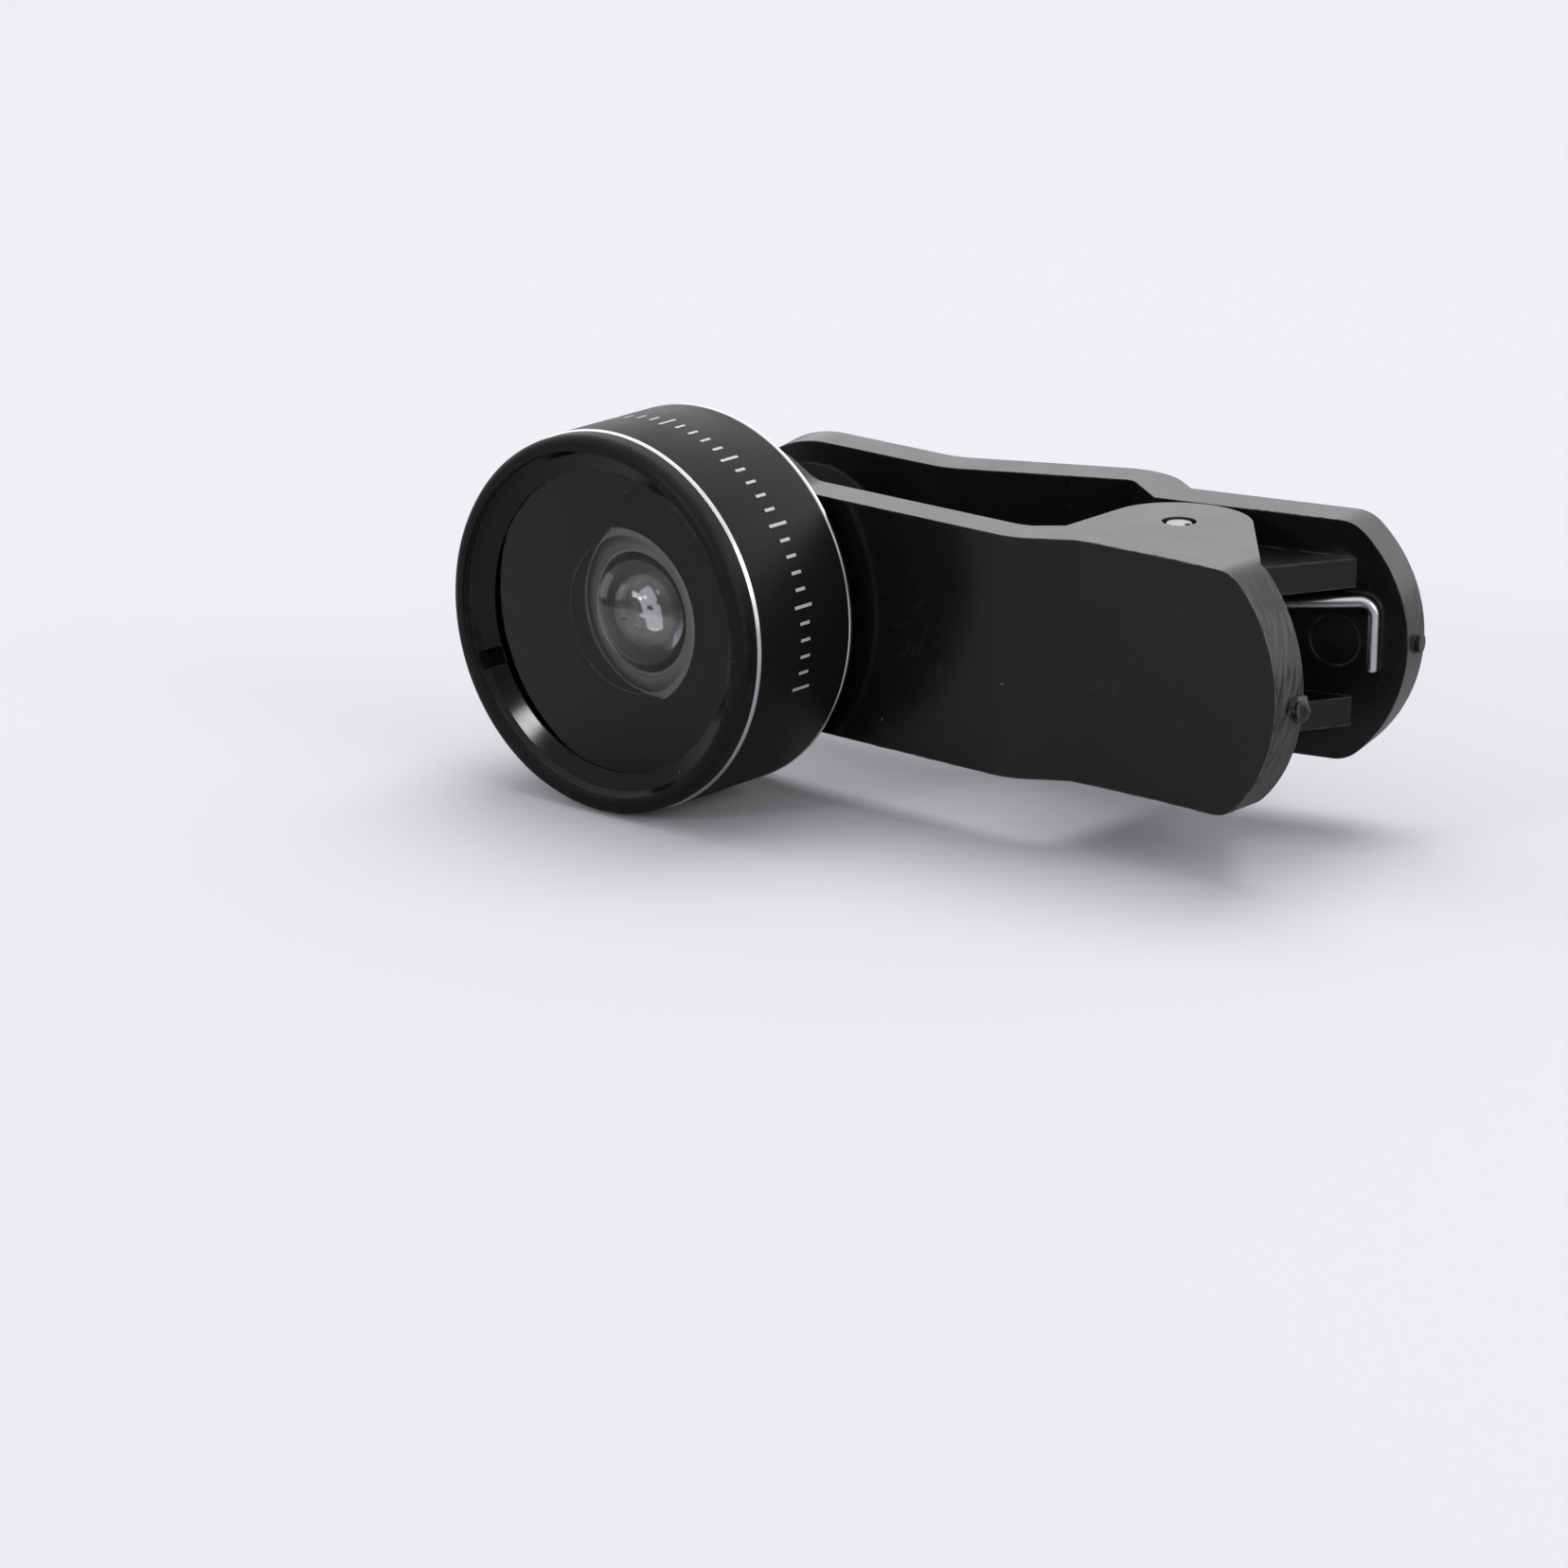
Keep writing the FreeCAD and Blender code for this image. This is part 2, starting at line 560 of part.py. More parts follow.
symmetric(rear_lever, "Pocket", rear_plan, "4 * (pin_depth + hump_height)")
cut_volume(rear_lever, before, "plan")
rounded(rear_lever, "rear_corners", [
    spot(REAR_END_X, "0", "clip_half_width"),
    spot(REAR_END_X, "0", "-clip_half_width"),
], ALONG_Y, "corner_round")

rear_channel = new_sketch(rear_lever, "rear_channel")
draw_loop(rear_channel, [
    ("-hump_inner_reach", "-2 * rear_lobe"),
    ("rear_foot + trim_margin", "-2 * rear_lobe"),
    ("rear_foot + trim_margin", "rear_floor"),
    (REAR_RAMP_X, "rear_floor"),
    ("-hump_inner_reach", "hump_inner_height"),
])
before = rear_lever.Shape.Volume
symmetric(rear_lever, "Pocket", rear_channel, "2 * (rear_ear_outer - rear_ear_plate)")
cut_volume(rear_lever, before, "channel")
pin_holes(rear_lever, "0", "0", "pin_radius + running_gap", "rear_pin_hole")
gate(rear_lever, "rear_reach", "rear_floor + handle_plate / 2", "0", "rear_gate")


def disc_groove(body, name, reach, height, turn, radius, depth):
    """Sink a round recess into a lever, about an axis through (reach, height) turned from Y."""
    sketch = new_sketch(body, name)
    across = ("cos(%s)" % turn, "sin(%s)" % turn)
    out = ("-sin(%s)" % turn, "cos(%s)" % turn)

    def place(along, up):
        return ("%s + %s * (%s) + %s * (%s)" % (reach, across[0], along, out[0], up),
                "%s + %s * (%s) + %s * (%s)" % (height, across[1], along, out[1], up))

    draw_loop(sketch, [place("0", "-trim_margin"), place(radius, "-trim_margin"),
                       place(radius, depth), place("0", depth)])
    base, tip = place("0", "0"), place("0", "1")
    axis = sketch.addGeometry(Part.LineSegment(spot(*base), spot(*tip)), True)
    pin_point(sketch, axis, 1, *base)
    pin_point(sketch, axis, 2, *tip)
    before_disc = body.Shape.Volume
    turned(body, "Groove", sketch, "Axis0")
    cut_volume(body, before_disc, name)


pad_seat_x, pad_seat_y = rear_spot("0", JAW_INNER_Y)
disc_groove(rear_lever, "rear_pad_seat", pad_seat_x, pad_seat_y, "-rear_tilt",
            REAR_PAD + " + pad_clearance", "pad_thickness - pad_proud")
disc_groove(rear_lever, "ejector_mark", "ejector_reach", "rear_floor", "0",
            "ejector_radius", "ejector_depth")


# The hinge pin stands in the ears with a chamfer at both ends and a notch in the upper one.

hinge_pin = new_body("hinge_pin")
hinge_pin.Placement = FreeCAD.Placement(spot("pin_reach", "pin_depth"), FreeCAD.Rotation())
hinge_pin.setExpression("Placement.Base.x", bind("pin_reach"))
hinge_pin.setExpression("Placement.Base.y", bind("pin_depth"))
PIN_END = "(clip_half_width - pin_recess)"
pin_section = new_sketch(hinge_pin, "pin_section", "XZ_Plane")
draw_loop(pin_section, [
    ("0", "-" + PIN_END),
    ("pin_radius - pin_chamfer", "-" + PIN_END),
    ("pin_radius", "-" + PIN_END + " + pin_chamfer"),
    ("pin_radius", PIN_END + " - pin_chamfer"),
    ("pin_radius - pin_chamfer", PIN_END),
    ("0", PIN_END),
])
turned(hinge_pin, "Revolution", pin_section)
notch = new_sketch(hinge_pin, "pin_notch")
draw_loop(notch, [
    ("pin_radius - pin_notch", "-pin_notch / 2"),
    ("2 * pin_radius", "-pin_notch / 2"),
    ("2 * pin_radius", "pin_notch / 2"),
    ("pin_radius - pin_notch", "pin_notch / 2"),
])
notch.setExpression("AttachmentOffset.Base.z", bind(PIN_END))
before = hinge_pin.Shape.Volume
symmetric(hinge_pin, "Pocket", notch, "2 * pin_chamfer")
cut_volume(hinge_pin, before, "notch")


# The torsion spring is one wire: cross bar, bend, leg, coil, leg, bend and cross bar.

def leg_angle(reach, height, radius):
    """Slope of the line through (reach, height) that touches the coil on its outer side."""
    return math.acos(radius / math.hypot(reach, height)) - math.atan2(reach, height)


def bend_arc(leg_start, corner, bar_end, radius):
    """The end of the leg, the bend and the start of the cross bar."""
    back = (leg_start - corner).normalize()
    along = (bar_end - corner).normalize()
    opening = back.getAngle(along)
    reach = radius / math.tan(opening / 2)
    first, last = corner + back * reach, corner + along * reach
    middle_way = (back + along).normalize()
    centre = corner + middle_way * (radius / math.sin(opening / 2))
    return first, centre - middle_way * radius, last


def spring_wire():
    """The wire's path and its length, about the pin's axis."""
    coil = value("coil_radius")
    wire = value("wire_radius")
    reach = value("leg_reach")
    half = value("coil_half_height")
    tilt = math.radians(value("rear_tilt"))
    rear_height = value("rear_floor - wire_radius - leg_gap")
    foot, floor = value("front_foot"), value("front_floor")
    fall = value("(%s) - (%s + tip_plate)" % (FLOOR_Y, TIP_Y))
    fall = fall / value("%s - (%s)" % (BLANK_RIGHT, FOOT_X)) * max(reach - foot, 0)
    front_height = floor + fall - wire - value("leg_gap")
    rear_turn = leg_angle(reach, rear_height, coil)
    front_turn = leg_angle(reach, front_height, coil)
    start = -math.pi / 2 + front_turn * -1
    finish = math.pi / 2 + rear_turn + tilt
    sweep = (start - finish) % (2 * math.pi) + 2 * math.pi * int(value("coil_turns"))
    pitch = 2 * half / (sweep / (2 * math.pi))
    helix = Part.makeLongHelix(pitch, 2 * half, coil, 0, True)
    helix.rotate(FreeCAD.Vector(), ALONG_Z, math.degrees(start))
    helix.translate(FreeCAD.Vector(0, 0, -half))

    def circle_spot(angle, level):
        return FreeCAD.Vector(coil * math.cos(angle), coil * math.sin(angle), level)

    def turned_spot(along, up, angle, level):
        return FreeCAD.Vector(along * math.cos(angle) - up * math.sin(angle),
                              along * math.sin(angle) + up * math.cos(angle), level)

    low, high = circle_spot(start, -half), circle_spot(finish, half)
    low_flat = turned_spot(reach, -front_height, 0, -half)
    high_flat = turned_spot(reach, rear_height, tilt, half)
    low_corner = FreeCAD.Vector(low_flat.x, low_flat.y, -value("leg_height"))
    high_corner = FreeCAD.Vector(high_flat.x, high_flat.y, value("leg_height"))
    bar = value("bar_reach")
    low_tip = FreeCAD.Vector(low_corner.x, low_corner.y, bar)
    high_tip = FreeCAD.Vector(high_corner.x, high_corner.y, -bar)
    bend = value("leg_bend")
    low_first, low_middle, low_last = bend_arc(low, low_corner, low_tip, bend)
    high_first, high_middle, high_last = bend_arc(high, high_corner, high_tip, bend)
    edges = [Part.makeLine(low_tip, low_last), Part.Arc(low_last, low_middle, low_first).toShape(),
             Part.makeLine(low_first, low)]
    edges += helix.Edges
    edges += [Part.makeLine(high, high_first), Part.Arc(high_first, high_middle, high_last).toShape(),
              Part.makeLine(high_last, high_tip)]
    return Part.Wire(edges), low_tip


torsion_spring = doc.addObject("Part::Feature", "torsion_spring")
torsion_spring.Label = "torsion_spring"
spring_path, wire_start = spring_wire()
wire_end = Part.Wire(Part.makeCircle(value("wire_radius"), wire_start, ALONG_Z))
torsion_spring.Shape = spring_path.makePipeShell([wire_end], True, True)
torsion_spring.Placement = FreeCAD.Placement(spot("pin_reach", "pin_depth"), FreeCAD.Rotation())
straight_volume = spring_path.Length * math.pi * value("wire_radius") ** 2
if abs(torsion_spring.Shape.Volume / straight_volume - 1) > 0.01:
    raise RuntimeError("the spring's volume differs from its wire's: %g" % (
        torsion_spring.Shape.Volume / straight_volume))


# Both jaw pads are soft and glued into round recesses.

lens_piece("front_jaw_pad", [
    ("front_pad_inner", "0"),
    (FRONT_PAD, "0"),
    (FRONT_PAD, "pad_thickness"),
    ("front_pad_inner", "pad_thickness"),
])
lens_piece("rear_jaw_pad", [
    ("0", "-phone_thickness"),
    (REAR_PAD, "-phone_thickness"),
    (REAR_PAD, "-(phone_thickness + pad_thickness)"),
    ("0", "-(phone_thickness + pad_thickness)"),
])


# The lens. Every depth is counted from the phone's back towards the viewer.

# Its radii grow from the inner glass outwards, and its depths from the barrel's rear wall forwards.

SMALL_SEAT = "(small_radius + glass_clearance)"
SMALL_SIGHT = "(small_radius - small_land)"
SMALL_EYE = "(%s + glass_clearance)" % SMALL_SIGHT
TUBE = "(%s + cell_wall)" % SMALL_SEAT
BASE_BORE = "(%s + tube_gap)" % TUBE
SECOND_SIGHT = "(second_radius - second_land)"
SECOND_BOWL = "(second_radius - second_rear_land)"
CELL_THREAD = "(second_radius + cell_rim)"
BASE_SHANK = "(%s - shank_step)" % CELL_THREAD
NECK = "(%s + neck_step)" % BASE_SHANK
BOWL_MOUTH = "(%s - bowl_margin)" % CELL_THREAD
THREAD = "(%s + seat_width)" % CELL_THREAD
GLASS_SIDE = "(%s - glass_clearance)" % THREAD
GLASS_SIGHT = "(%s - ring_width)" % THREAD
BARREL = "(%s + rim_wall)" % THREAD
BEZEL = "(%s - bezel_inset)" % BARREL

BASE_END = "(barrel_rear + rear_wall)"
CELL_FLOOR = "(%s + cell_gap)" % BASE_END
SECOND_REAR = "(%s + cell_floor + cell_lip)" % CELL_FLOOR
CELL_FRONT = "(%s + second_edge)" % SECOND_REAR
BAFFLE_FRONT = "(%s + baffle_thickness)" % CELL_FRONT
SEAT = "(%s + spacer_wall)" % BAFFLE_FRONT
SIGHT_DEPTH = "(%s + glass_rise)" % SEAT
RING_FRONT = "(%s + ring_rise)" % SIGHT_DEPTH
RIM_FRONT = "(%s + rim_lip)" % RING_FRONT
SHOULDER = "(%s - bezel_length)" % RIM_FRONT

lens_barrel = lens_piece("lens_barrel", [
    (BASE_SHANK, "barrel_rear"),
    (BARREL, "barrel_rear"),
    (BARREL, SHOULDER + " - bright_ring"),
    (BEZEL + " - bezel_step", SHOULDER),
    (BEZEL, SHOULDER + " + bezel_step"),
    (BEZEL, RIM_FRONT + " - bezel_round", "bezel_round", -1),
    (BEZEL + " - bezel_round", RIM_FRONT),
    (THREAD, RIM_FRONT),
    (THREAD, SEAT),
    (CELL_THREAD, SEAT),
    (CELL_THREAD, BASE_END),
    (BASE_SHANK, BASE_END),
])

NECK_REAR = "(pad_proud + arm_plate + running_gap)"
mount_base = lens_piece("mount_base", [
    (BASE_BORE, "spigot_end"),
    ("spigot_radius", "spigot_end"),
    ("spigot_radius", NECK_REAR),
    (NECK, NECK_REAR),
    (NECK, "barrel_rear"),
    (BASE_SHANK, "barrel_rear"),
    (BASE_SHANK, BASE_END),
    (BASE_BORE, BASE_END),
])

DOME_CENTRE = "(%s - sqrt(dome_radius ^ 2 - %s ^ 2))" % (SIGHT_DEPTH, GLASS_SIGHT)
GLASS_EDGE = "(%s + sqrt(dome_radius ^ 2 - %s ^ 2))" % (DOME_CENTRE, GLASS_SIDE)


def sag(curve, mouth):
    """Depth of a spherical bowl or dome of radius curve over a mouth."""
    return "(%s - sqrt(%s ^ 2 - %s ^ 2))" % (curve, curve, mouth)


front_element = lens_piece("front_element", [
    ("0", DOME_CENTRE + " + dome_radius", "dome_radius", 1),
    (GLASS_SIDE, GLASS_EDGE),
    (GLASS_SIDE, SEAT),
    (BOWL_MOUTH, SEAT, "bowl_radius", -1),
    ("0", SEAT + " + " + sag("bowl_radius", BOWL_MOUTH)),
])

front_ring = lens_piece("front_retaining_ring", [
    (GLASS_SIGHT, SIGHT_DEPTH, "dome_radius", 1),
    (GLASS_SIDE, GLASS_EDGE),
    (THREAD, GLASS_EDGE),
    (THREAD, RING_FRONT),
    (THREAD + " - ring_bevel", RING_FRONT + " - ring_bevel"),
    (GLASS_SIGHT, SIGHT_DEPTH + " + ring_lip"),
])


def spanner_slots(body, front, reach, turn, depth, name):
    """Cut two slots for a pin spanner, one on each side, into a retaining ring."""
    slots = new_sketch(body, name, "XZ_Plane")
    corners = []
    for along, across in ((-1, -1), (1, -1), (1, 1), (-1, 1)):
        x = "(%d * %s)" % (along, reach)
        y = "(%d * slot_width / 2)" % across
        corners.append(("%s * cos(%s) - %s * sin(%s)" % (x, turn, y, turn),
                        "%s * sin(%s) + %s * cos(%s)" % (x, turn, y, turn)))
    draw_loop(slots, corners)
    slots.setExpression("AttachmentOffset.Base.z", bind(front))
    before_slots = body.Shape.Volume
    symmetric(body, "Pocket", slots, depth)
    cut_volume(body, before_slots, name)


spanner_slots(front_ring, RING_FRONT, "(2 * %s)" % THREAD, "slot_angle", "2 * ring_rise",
              "front_ring_slots")

lens_piece("front_spacer", [
    ("second_radius", BAFFLE_FRONT),
    (CELL_THREAD + " - glass_clearance", BAFFLE_FRONT),
    (CELL_THREAD + " - glass_clearance", SEAT),
    (BOWL_MOUTH + " + 4 * glass_clearance", SEAT),
])
lens_piece("light_baffle", [
    ("second_radius - baffle_cover", CELL_FRONT),
    (CELL_THREAD + " - glass_clearance", CELL_FRONT),
    (CELL_THREAD + " - glass_clearance", BAFFLE_FRONT),
    ("second_radius - baffle_cover", BAFFLE_FRONT),
])
lens_piece("second_element", [
    ("0", CELL_FRONT + " + " + sag("second_front_curve", SECOND_SIGHT), "second_front_curve", 1),
    (SECOND_SIGHT, CELL_FRONT),
    ("second_radius", CELL_FRONT),
    ("second_radius", SECOND_REAR),
    (SECOND_BOWL, SECOND_REAR, "second_rear_curve", -1),
    ("0", SECOND_REAR + " + " + sag("second_rear_curve", SECOND_BOWL)),
])

THIRD_FRONT = "(%s - cell_lip)" % SECOND_REAR
THIRD_REAR = "(%s - small_edge)" % THIRD_FRONT
STOP_FRONT = "(%s - sleeve_length)" % THIRD_REAR
FOURTH_FRONT = "(%s - baffle_thickness)" % STOP_FRONT
FOURTH_REAR = "(%s - fourth_edge)" % FOURTH_FRONT
RING_REAR = "(%s - rear_ring_length)" % FOURTH_REAR
lens_piece("lens_cell", [
    ("second_radius + glass_clearance", CELL_FRONT),
    (CELL_THREAD, CELL_FRONT),
    (CELL_THREAD, CELL_FLOOR),
    (TUBE, CELL_FLOOR),
    (TUBE, RING_REAR + " - tube_end"),
    (SMALL_SEAT, RING_REAR + " - tube_end"),
    (SMALL_SEAT, THIRD_FRONT),
    (SMALL_EYE, THIRD_FRONT),
    (SMALL_EYE, SECOND_REAR),
    ("second_radius + glass_clearance", SECOND_REAR),
])
lens_piece("third_element", [
    ("0", THIRD_FRONT + " + " + sag("small_curve", SMALL_SIGHT), "small_curve", 1),
    (SMALL_SIGHT, THIRD_FRONT),
    ("small_radius", THIRD_FRONT),
    ("small_radius", THIRD_REAR),
    (SMALL_SIGHT, THIRD_REAR, "small_curve", 1),
    ("0", THIRD_REAR + " - " + sag("small_curve", SMALL_SIGHT)),
])
lens_piece("spacer_sleeve", [
    (SMALL_EYE, STOP_FRONT),
    ("small_radius", STOP_FRONT),
    ("small_radius", THIRD_REAR),
    (SMALL_EYE, THIRD_REAR),
])
lens_piece("aperture_stop", [
    ("stop_hole", FOURTH_FRONT),
    ("small_radius", FOURTH_FRONT),
    ("small_radius", STOP_FRONT),
    ("stop_hole", STOP_FRONT),
])
lens_piece("fourth_element", [
    ("0", FOURTH_FRONT),
    ("small_radius", FOURTH_FRONT),
    ("small_radius", FOURTH_REAR),
    (SMALL_SIGHT, FOURTH_REAR, "small_curve", 1),
    ("0", FOURTH_REAR + " - " + sag("small_curve", SMALL_SIGHT)),
])
rear_ring = lens_piece("rear_retaining_ring", [
    (SMALL_EYE, RING_REAR),
    (SMALL_SEAT, RING_REAR),
    (SMALL_SEAT, FOURTH_REAR),
    (SMALL_EYE, FOURTH_REAR),
])
spanner_slots(rear_ring, RING_REAR, "(2 * small_radius)", "0", "2 * slot_depth", "rear_ring_slots")


# Every object has to be sound before anything is written.

doc.recompute()
for item in doc.Objects:
    if "Invalid" in item.State or "Error" in item.State:
        raise RuntimeError("%s is %s" % (item.Label, item.State))

os.makedirs("parts", exist_ok=True)
pieces = [item for item in doc.Objects if item.TypeId == "PartDesign::Body"] + [torsion_spring]
for piece in pieces:
    shape = piece.Shape
    if shape.isNull() or not shape.isValid() or len(shape.Solids) != 1:
        raise RuntimeError("%s: %d solids, valid %s" % (
            piece.Label, len(shape.Solids), shape.isValid()))
    shape.exportStep(os.path.join("parts", piece.Label + ".step"))
    box = shape.BoundBox
    print("%-22s %9.2f mm3  x %6.2f %6.2f  y %6.2f %6.2f  z %6.2f %6.2f" % (
        piece.Label, shape.Volume, box.XMin, box.XMax, box.YMin, box.YMax, box.ZMin, box.ZMax))
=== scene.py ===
# %% [markdown]
# # A clip-on lens, dressed for its picture
#
# The object is a small wide-angle lens on a sprung plastic clip. A black barrel of
# turned aluminium holds the glass, and the clip's two moulded levers turn on a steel
# pin, with a spring between their handles. The solids come from a CAD model that is
# already packed as a frame: each one is a Blender object in metres, at its true place.
# Here they get their finishes, and a few of them are made again with finer shapes. The
# lens looks along -Y, the arm runs along +X and the hinge pin stands along +Z.

# %% The frame
import math
import random

import bmesh
import bpy
from mathutils import Matrix, Vector


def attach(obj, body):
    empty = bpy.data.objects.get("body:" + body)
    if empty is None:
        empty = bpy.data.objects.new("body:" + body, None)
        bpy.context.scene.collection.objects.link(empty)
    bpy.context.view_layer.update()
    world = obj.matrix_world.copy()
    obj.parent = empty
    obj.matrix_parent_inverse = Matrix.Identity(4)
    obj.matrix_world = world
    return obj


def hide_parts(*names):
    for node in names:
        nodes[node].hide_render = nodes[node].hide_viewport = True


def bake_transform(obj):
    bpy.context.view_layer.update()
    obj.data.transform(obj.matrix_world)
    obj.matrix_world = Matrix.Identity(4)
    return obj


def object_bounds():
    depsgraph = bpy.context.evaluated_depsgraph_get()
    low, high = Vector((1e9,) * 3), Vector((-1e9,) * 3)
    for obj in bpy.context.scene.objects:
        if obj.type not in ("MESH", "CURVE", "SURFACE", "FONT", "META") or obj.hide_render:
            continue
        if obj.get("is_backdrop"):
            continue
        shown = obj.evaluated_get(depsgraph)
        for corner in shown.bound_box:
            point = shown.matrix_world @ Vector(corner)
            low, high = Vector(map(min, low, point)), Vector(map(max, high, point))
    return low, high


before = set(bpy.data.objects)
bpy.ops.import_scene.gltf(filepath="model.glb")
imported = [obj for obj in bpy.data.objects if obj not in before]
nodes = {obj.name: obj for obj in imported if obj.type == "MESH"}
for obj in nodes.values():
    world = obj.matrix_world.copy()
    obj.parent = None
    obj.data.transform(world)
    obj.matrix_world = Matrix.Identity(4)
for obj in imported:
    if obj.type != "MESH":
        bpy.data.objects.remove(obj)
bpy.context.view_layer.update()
scene = bpy.context.scene
MM = 0.001

# %% [markdown]
# ## The camera
#
# The picture was taken with a long lens from the upper front right. The camera is
# given by its place in millimetres and by the directions of its right and upper
# sides, worked out once from lengths that are known on the object. A long focal
# length keeps the far handle nearly as large as the near barrel, as in the picture.

# %% Camera
CAMERA_PLACE = Vector((272.19, -323.943, 116.749)) * MM
CAMERA_RIGHT = Vector((0.768013, 0.640369, 0.0091647))
CAMERA_UP = Vector((-0.196464, 0.2219565, 0.9550588))
FOCAL_LENGTH, SENSOR_WIDTH = 147.848, 36.0
NEAREST_SEEN, FARTHEST_SEEN = 0.01, 20.0

camera_data = bpy.data.cameras.new("picture_camera")
camera_data.lens = FOCAL_LENGTH
camera_data.sensor_width = SENSOR_WIDTH
camera_data.sensor_fit = "HORIZONTAL"
camera_data.clip_start = NEAREST_SEEN
camera_data.clip_end = FARTHEST_SEEN
camera = bpy.data.objects.new("picture_camera", camera_data)
scene.collection.objects.link(camera)
turn = Matrix((CAMERA_RIGHT, CAMERA_UP, CAMERA_RIGHT.cross(CAMERA_UP))).transposed()
camera.matrix_world = Matrix.Translation(CAMERA_PLACE) @ turn.to_4x4()
scene.camera = camera
print("camera at", [round(value, 4) for value in CAMERA_PLACE])

# %% [markdown]
# ## Building shader trees
#
# Every finish below is a tree of shader nodes. Writing each node out takes many
# lines, so small helpers do it. The first ones add a node of any kind and fill in its
# sockets, and add the nodes that come back most: Math, Map Range, Mix and Mapping. A
# socket takes either a plain value or the output of another node.

# %% Helpers for single nodes
def fill(tree, socket, value):
    """Give a socket a value, or link it to another node's output."""
    if isinstance(value, bpy.types.NodeSocket):
        tree.links.new(value, socket)
    else:
        socket.default_value = value


def add(tree, kind, settings=None, **sockets):
    """Add a node; settings are its own options, and sockets its inputs by name."""
    node = tree.nodes.new(kind)
    for name, value in (settings or {}).items():
        setattr(node, name, value)
    for name, value in sockets.items():
        fill(tree, node.inputs[name.replace("_", " ")], value)
    return node


def calc(tree, operation, first, second=0.0, third=None):
    """Add a Math node and return its output."""
    node = tree.nodes.new("ShaderNodeMath")
    node.operation = operation
    fill(tree, node.inputs[0], first)
    fill(tree, node.inputs[1], second)
    if third is not None:
        fill(tree, node.inputs[2], third)
    return node.outputs[0]


def spread(tree, value, low, high, start=0.0, end=1.0):
    """Stretch the values between low and high over start to end, with soft ends."""
    node = add(tree, "ShaderNodeMapRange", {"interpolation_type": "SMOOTHSTEP"})
    for socket, number in zip(node.inputs, (value, low, high, start, end)):
        fill(tree, socket, number)
    return node.outputs[0]


def joined(tree, operation, values):
    """Put several outputs through one operation, one after another."""
    total = values[0]
    for value in values[1:]:
        total = calc(tree, operation, total, value)
    return total


MIX_SOCKETS = {"FLOAT": (2, 3, 0), "RGBA": (6, 7, 2)}


def mixed(tree, kind, factor, first, second):
    """Mix two values or two colours; the Mix node has its own sockets for each kind."""
    low, high, result = MIX_SOCKETS[kind]
    node = add(tree, "ShaderNodeMix", {"data_type": kind})
    fill(tree, node.inputs["Factor"], factor)
    fill(tree, node.inputs[low], first)
    fill(tree, node.inputs[high], second)
    return node.outputs[result]


def mapped(tree, place, socket, values):
    """Coordinates with the Rotation or the Scale of each axis set to its own value."""
    node = add(tree, "ShaderNodeMapping", {"vector_type": "POINT"}, Vector=place)
    node.inputs[socket].default_value = values
    return node.outputs[0]


# %% [markdown]
# A node group is a small tree with named inputs and outputs. It is made once, and each
# material that needs it places it with its own values.

# %% Helpers for node groups
def start_group(name, inputs, outputs):
    """A shader node group with (name, default) inputs; returns tree, inputs, outputs."""
    tree = bpy.data.node_groups.new(name, "ShaderNodeTree")
    for label, default in inputs:
        socket = tree.interface.new_socket(label, in_out="INPUT", socket_type="NodeSocketFloat")
        socket.default_value = default
    for label in outputs:
        tree.interface.new_socket(label, in_out="OUTPUT", socket_type="NodeSocketFloat")
    entry = tree.nodes.new("NodeGroupInput")
    leave = tree.nodes.new("NodeGroupOutput")
    print("group", name, "with", [label for label, default in inputs])
    return tree, entry.outputs, leave.inputs


def use_group(tree, group, **values):
    """Place a group in a material with its own values."""
    node = tree.nodes.new("ShaderNodeGroup")
    node.node_tree = group
    for name, value in values.items():
        fill(tree, node.inputs[name.replace("_", " ")], value)
    return node.outputs


# %% [markdown]
# ## Effects that several finishes share
#
# Five effects come back in the finishes, so each is a node group. The first is the
# fine grain that a mould or a tumbler leaves, which only bends the surface's normal a
# little. All coordinates are object coordinates in metres, so a Scale of 4000 gives
# spots of a quarter of a millimetre. Where two levels of a noise are named, the mask
# rises between them.

# %% Group: fine grain
PATCH_SCALE = 260.0
GRAIN, inputs, outputs = start_group(
    "fine_grain", [("Scale", 4000.0), ("Unevenness", 0.5)], ["Height", "Patches"])
place = add(GRAIN, "ShaderNodeTexCoord").outputs["Object"]
grain_noise = add(GRAIN, "ShaderNodeTexNoise", Vector=place, Scale=inputs["Scale"], Detail=3.0)
patch_noise = add(GRAIN, "ShaderNodeTexNoise", Vector=place, Scale=PATCH_SCALE, Detail=4.0)
fill(GRAIN, outputs["Height"], grain_noise.outputs[0])
around_zero = calc(GRAIN, "SUBTRACT", patch_noise.outputs[0], 0.5)
fill(GRAIN, outputs["Patches"], calc(GRAIN, "MULTIPLY", around_zero, inputs["Unevenness"]))

# %% [markdown]
# Handling leaves fine scratches. They are made from noise that is stretched along one
# direction, so its spots become lines, and cut off at a high level, so only the peaks
# are left. Three sets cross each other, each turned by its own angle around Y, and a
# broad noise breaks them up, because real scratches come in groups.

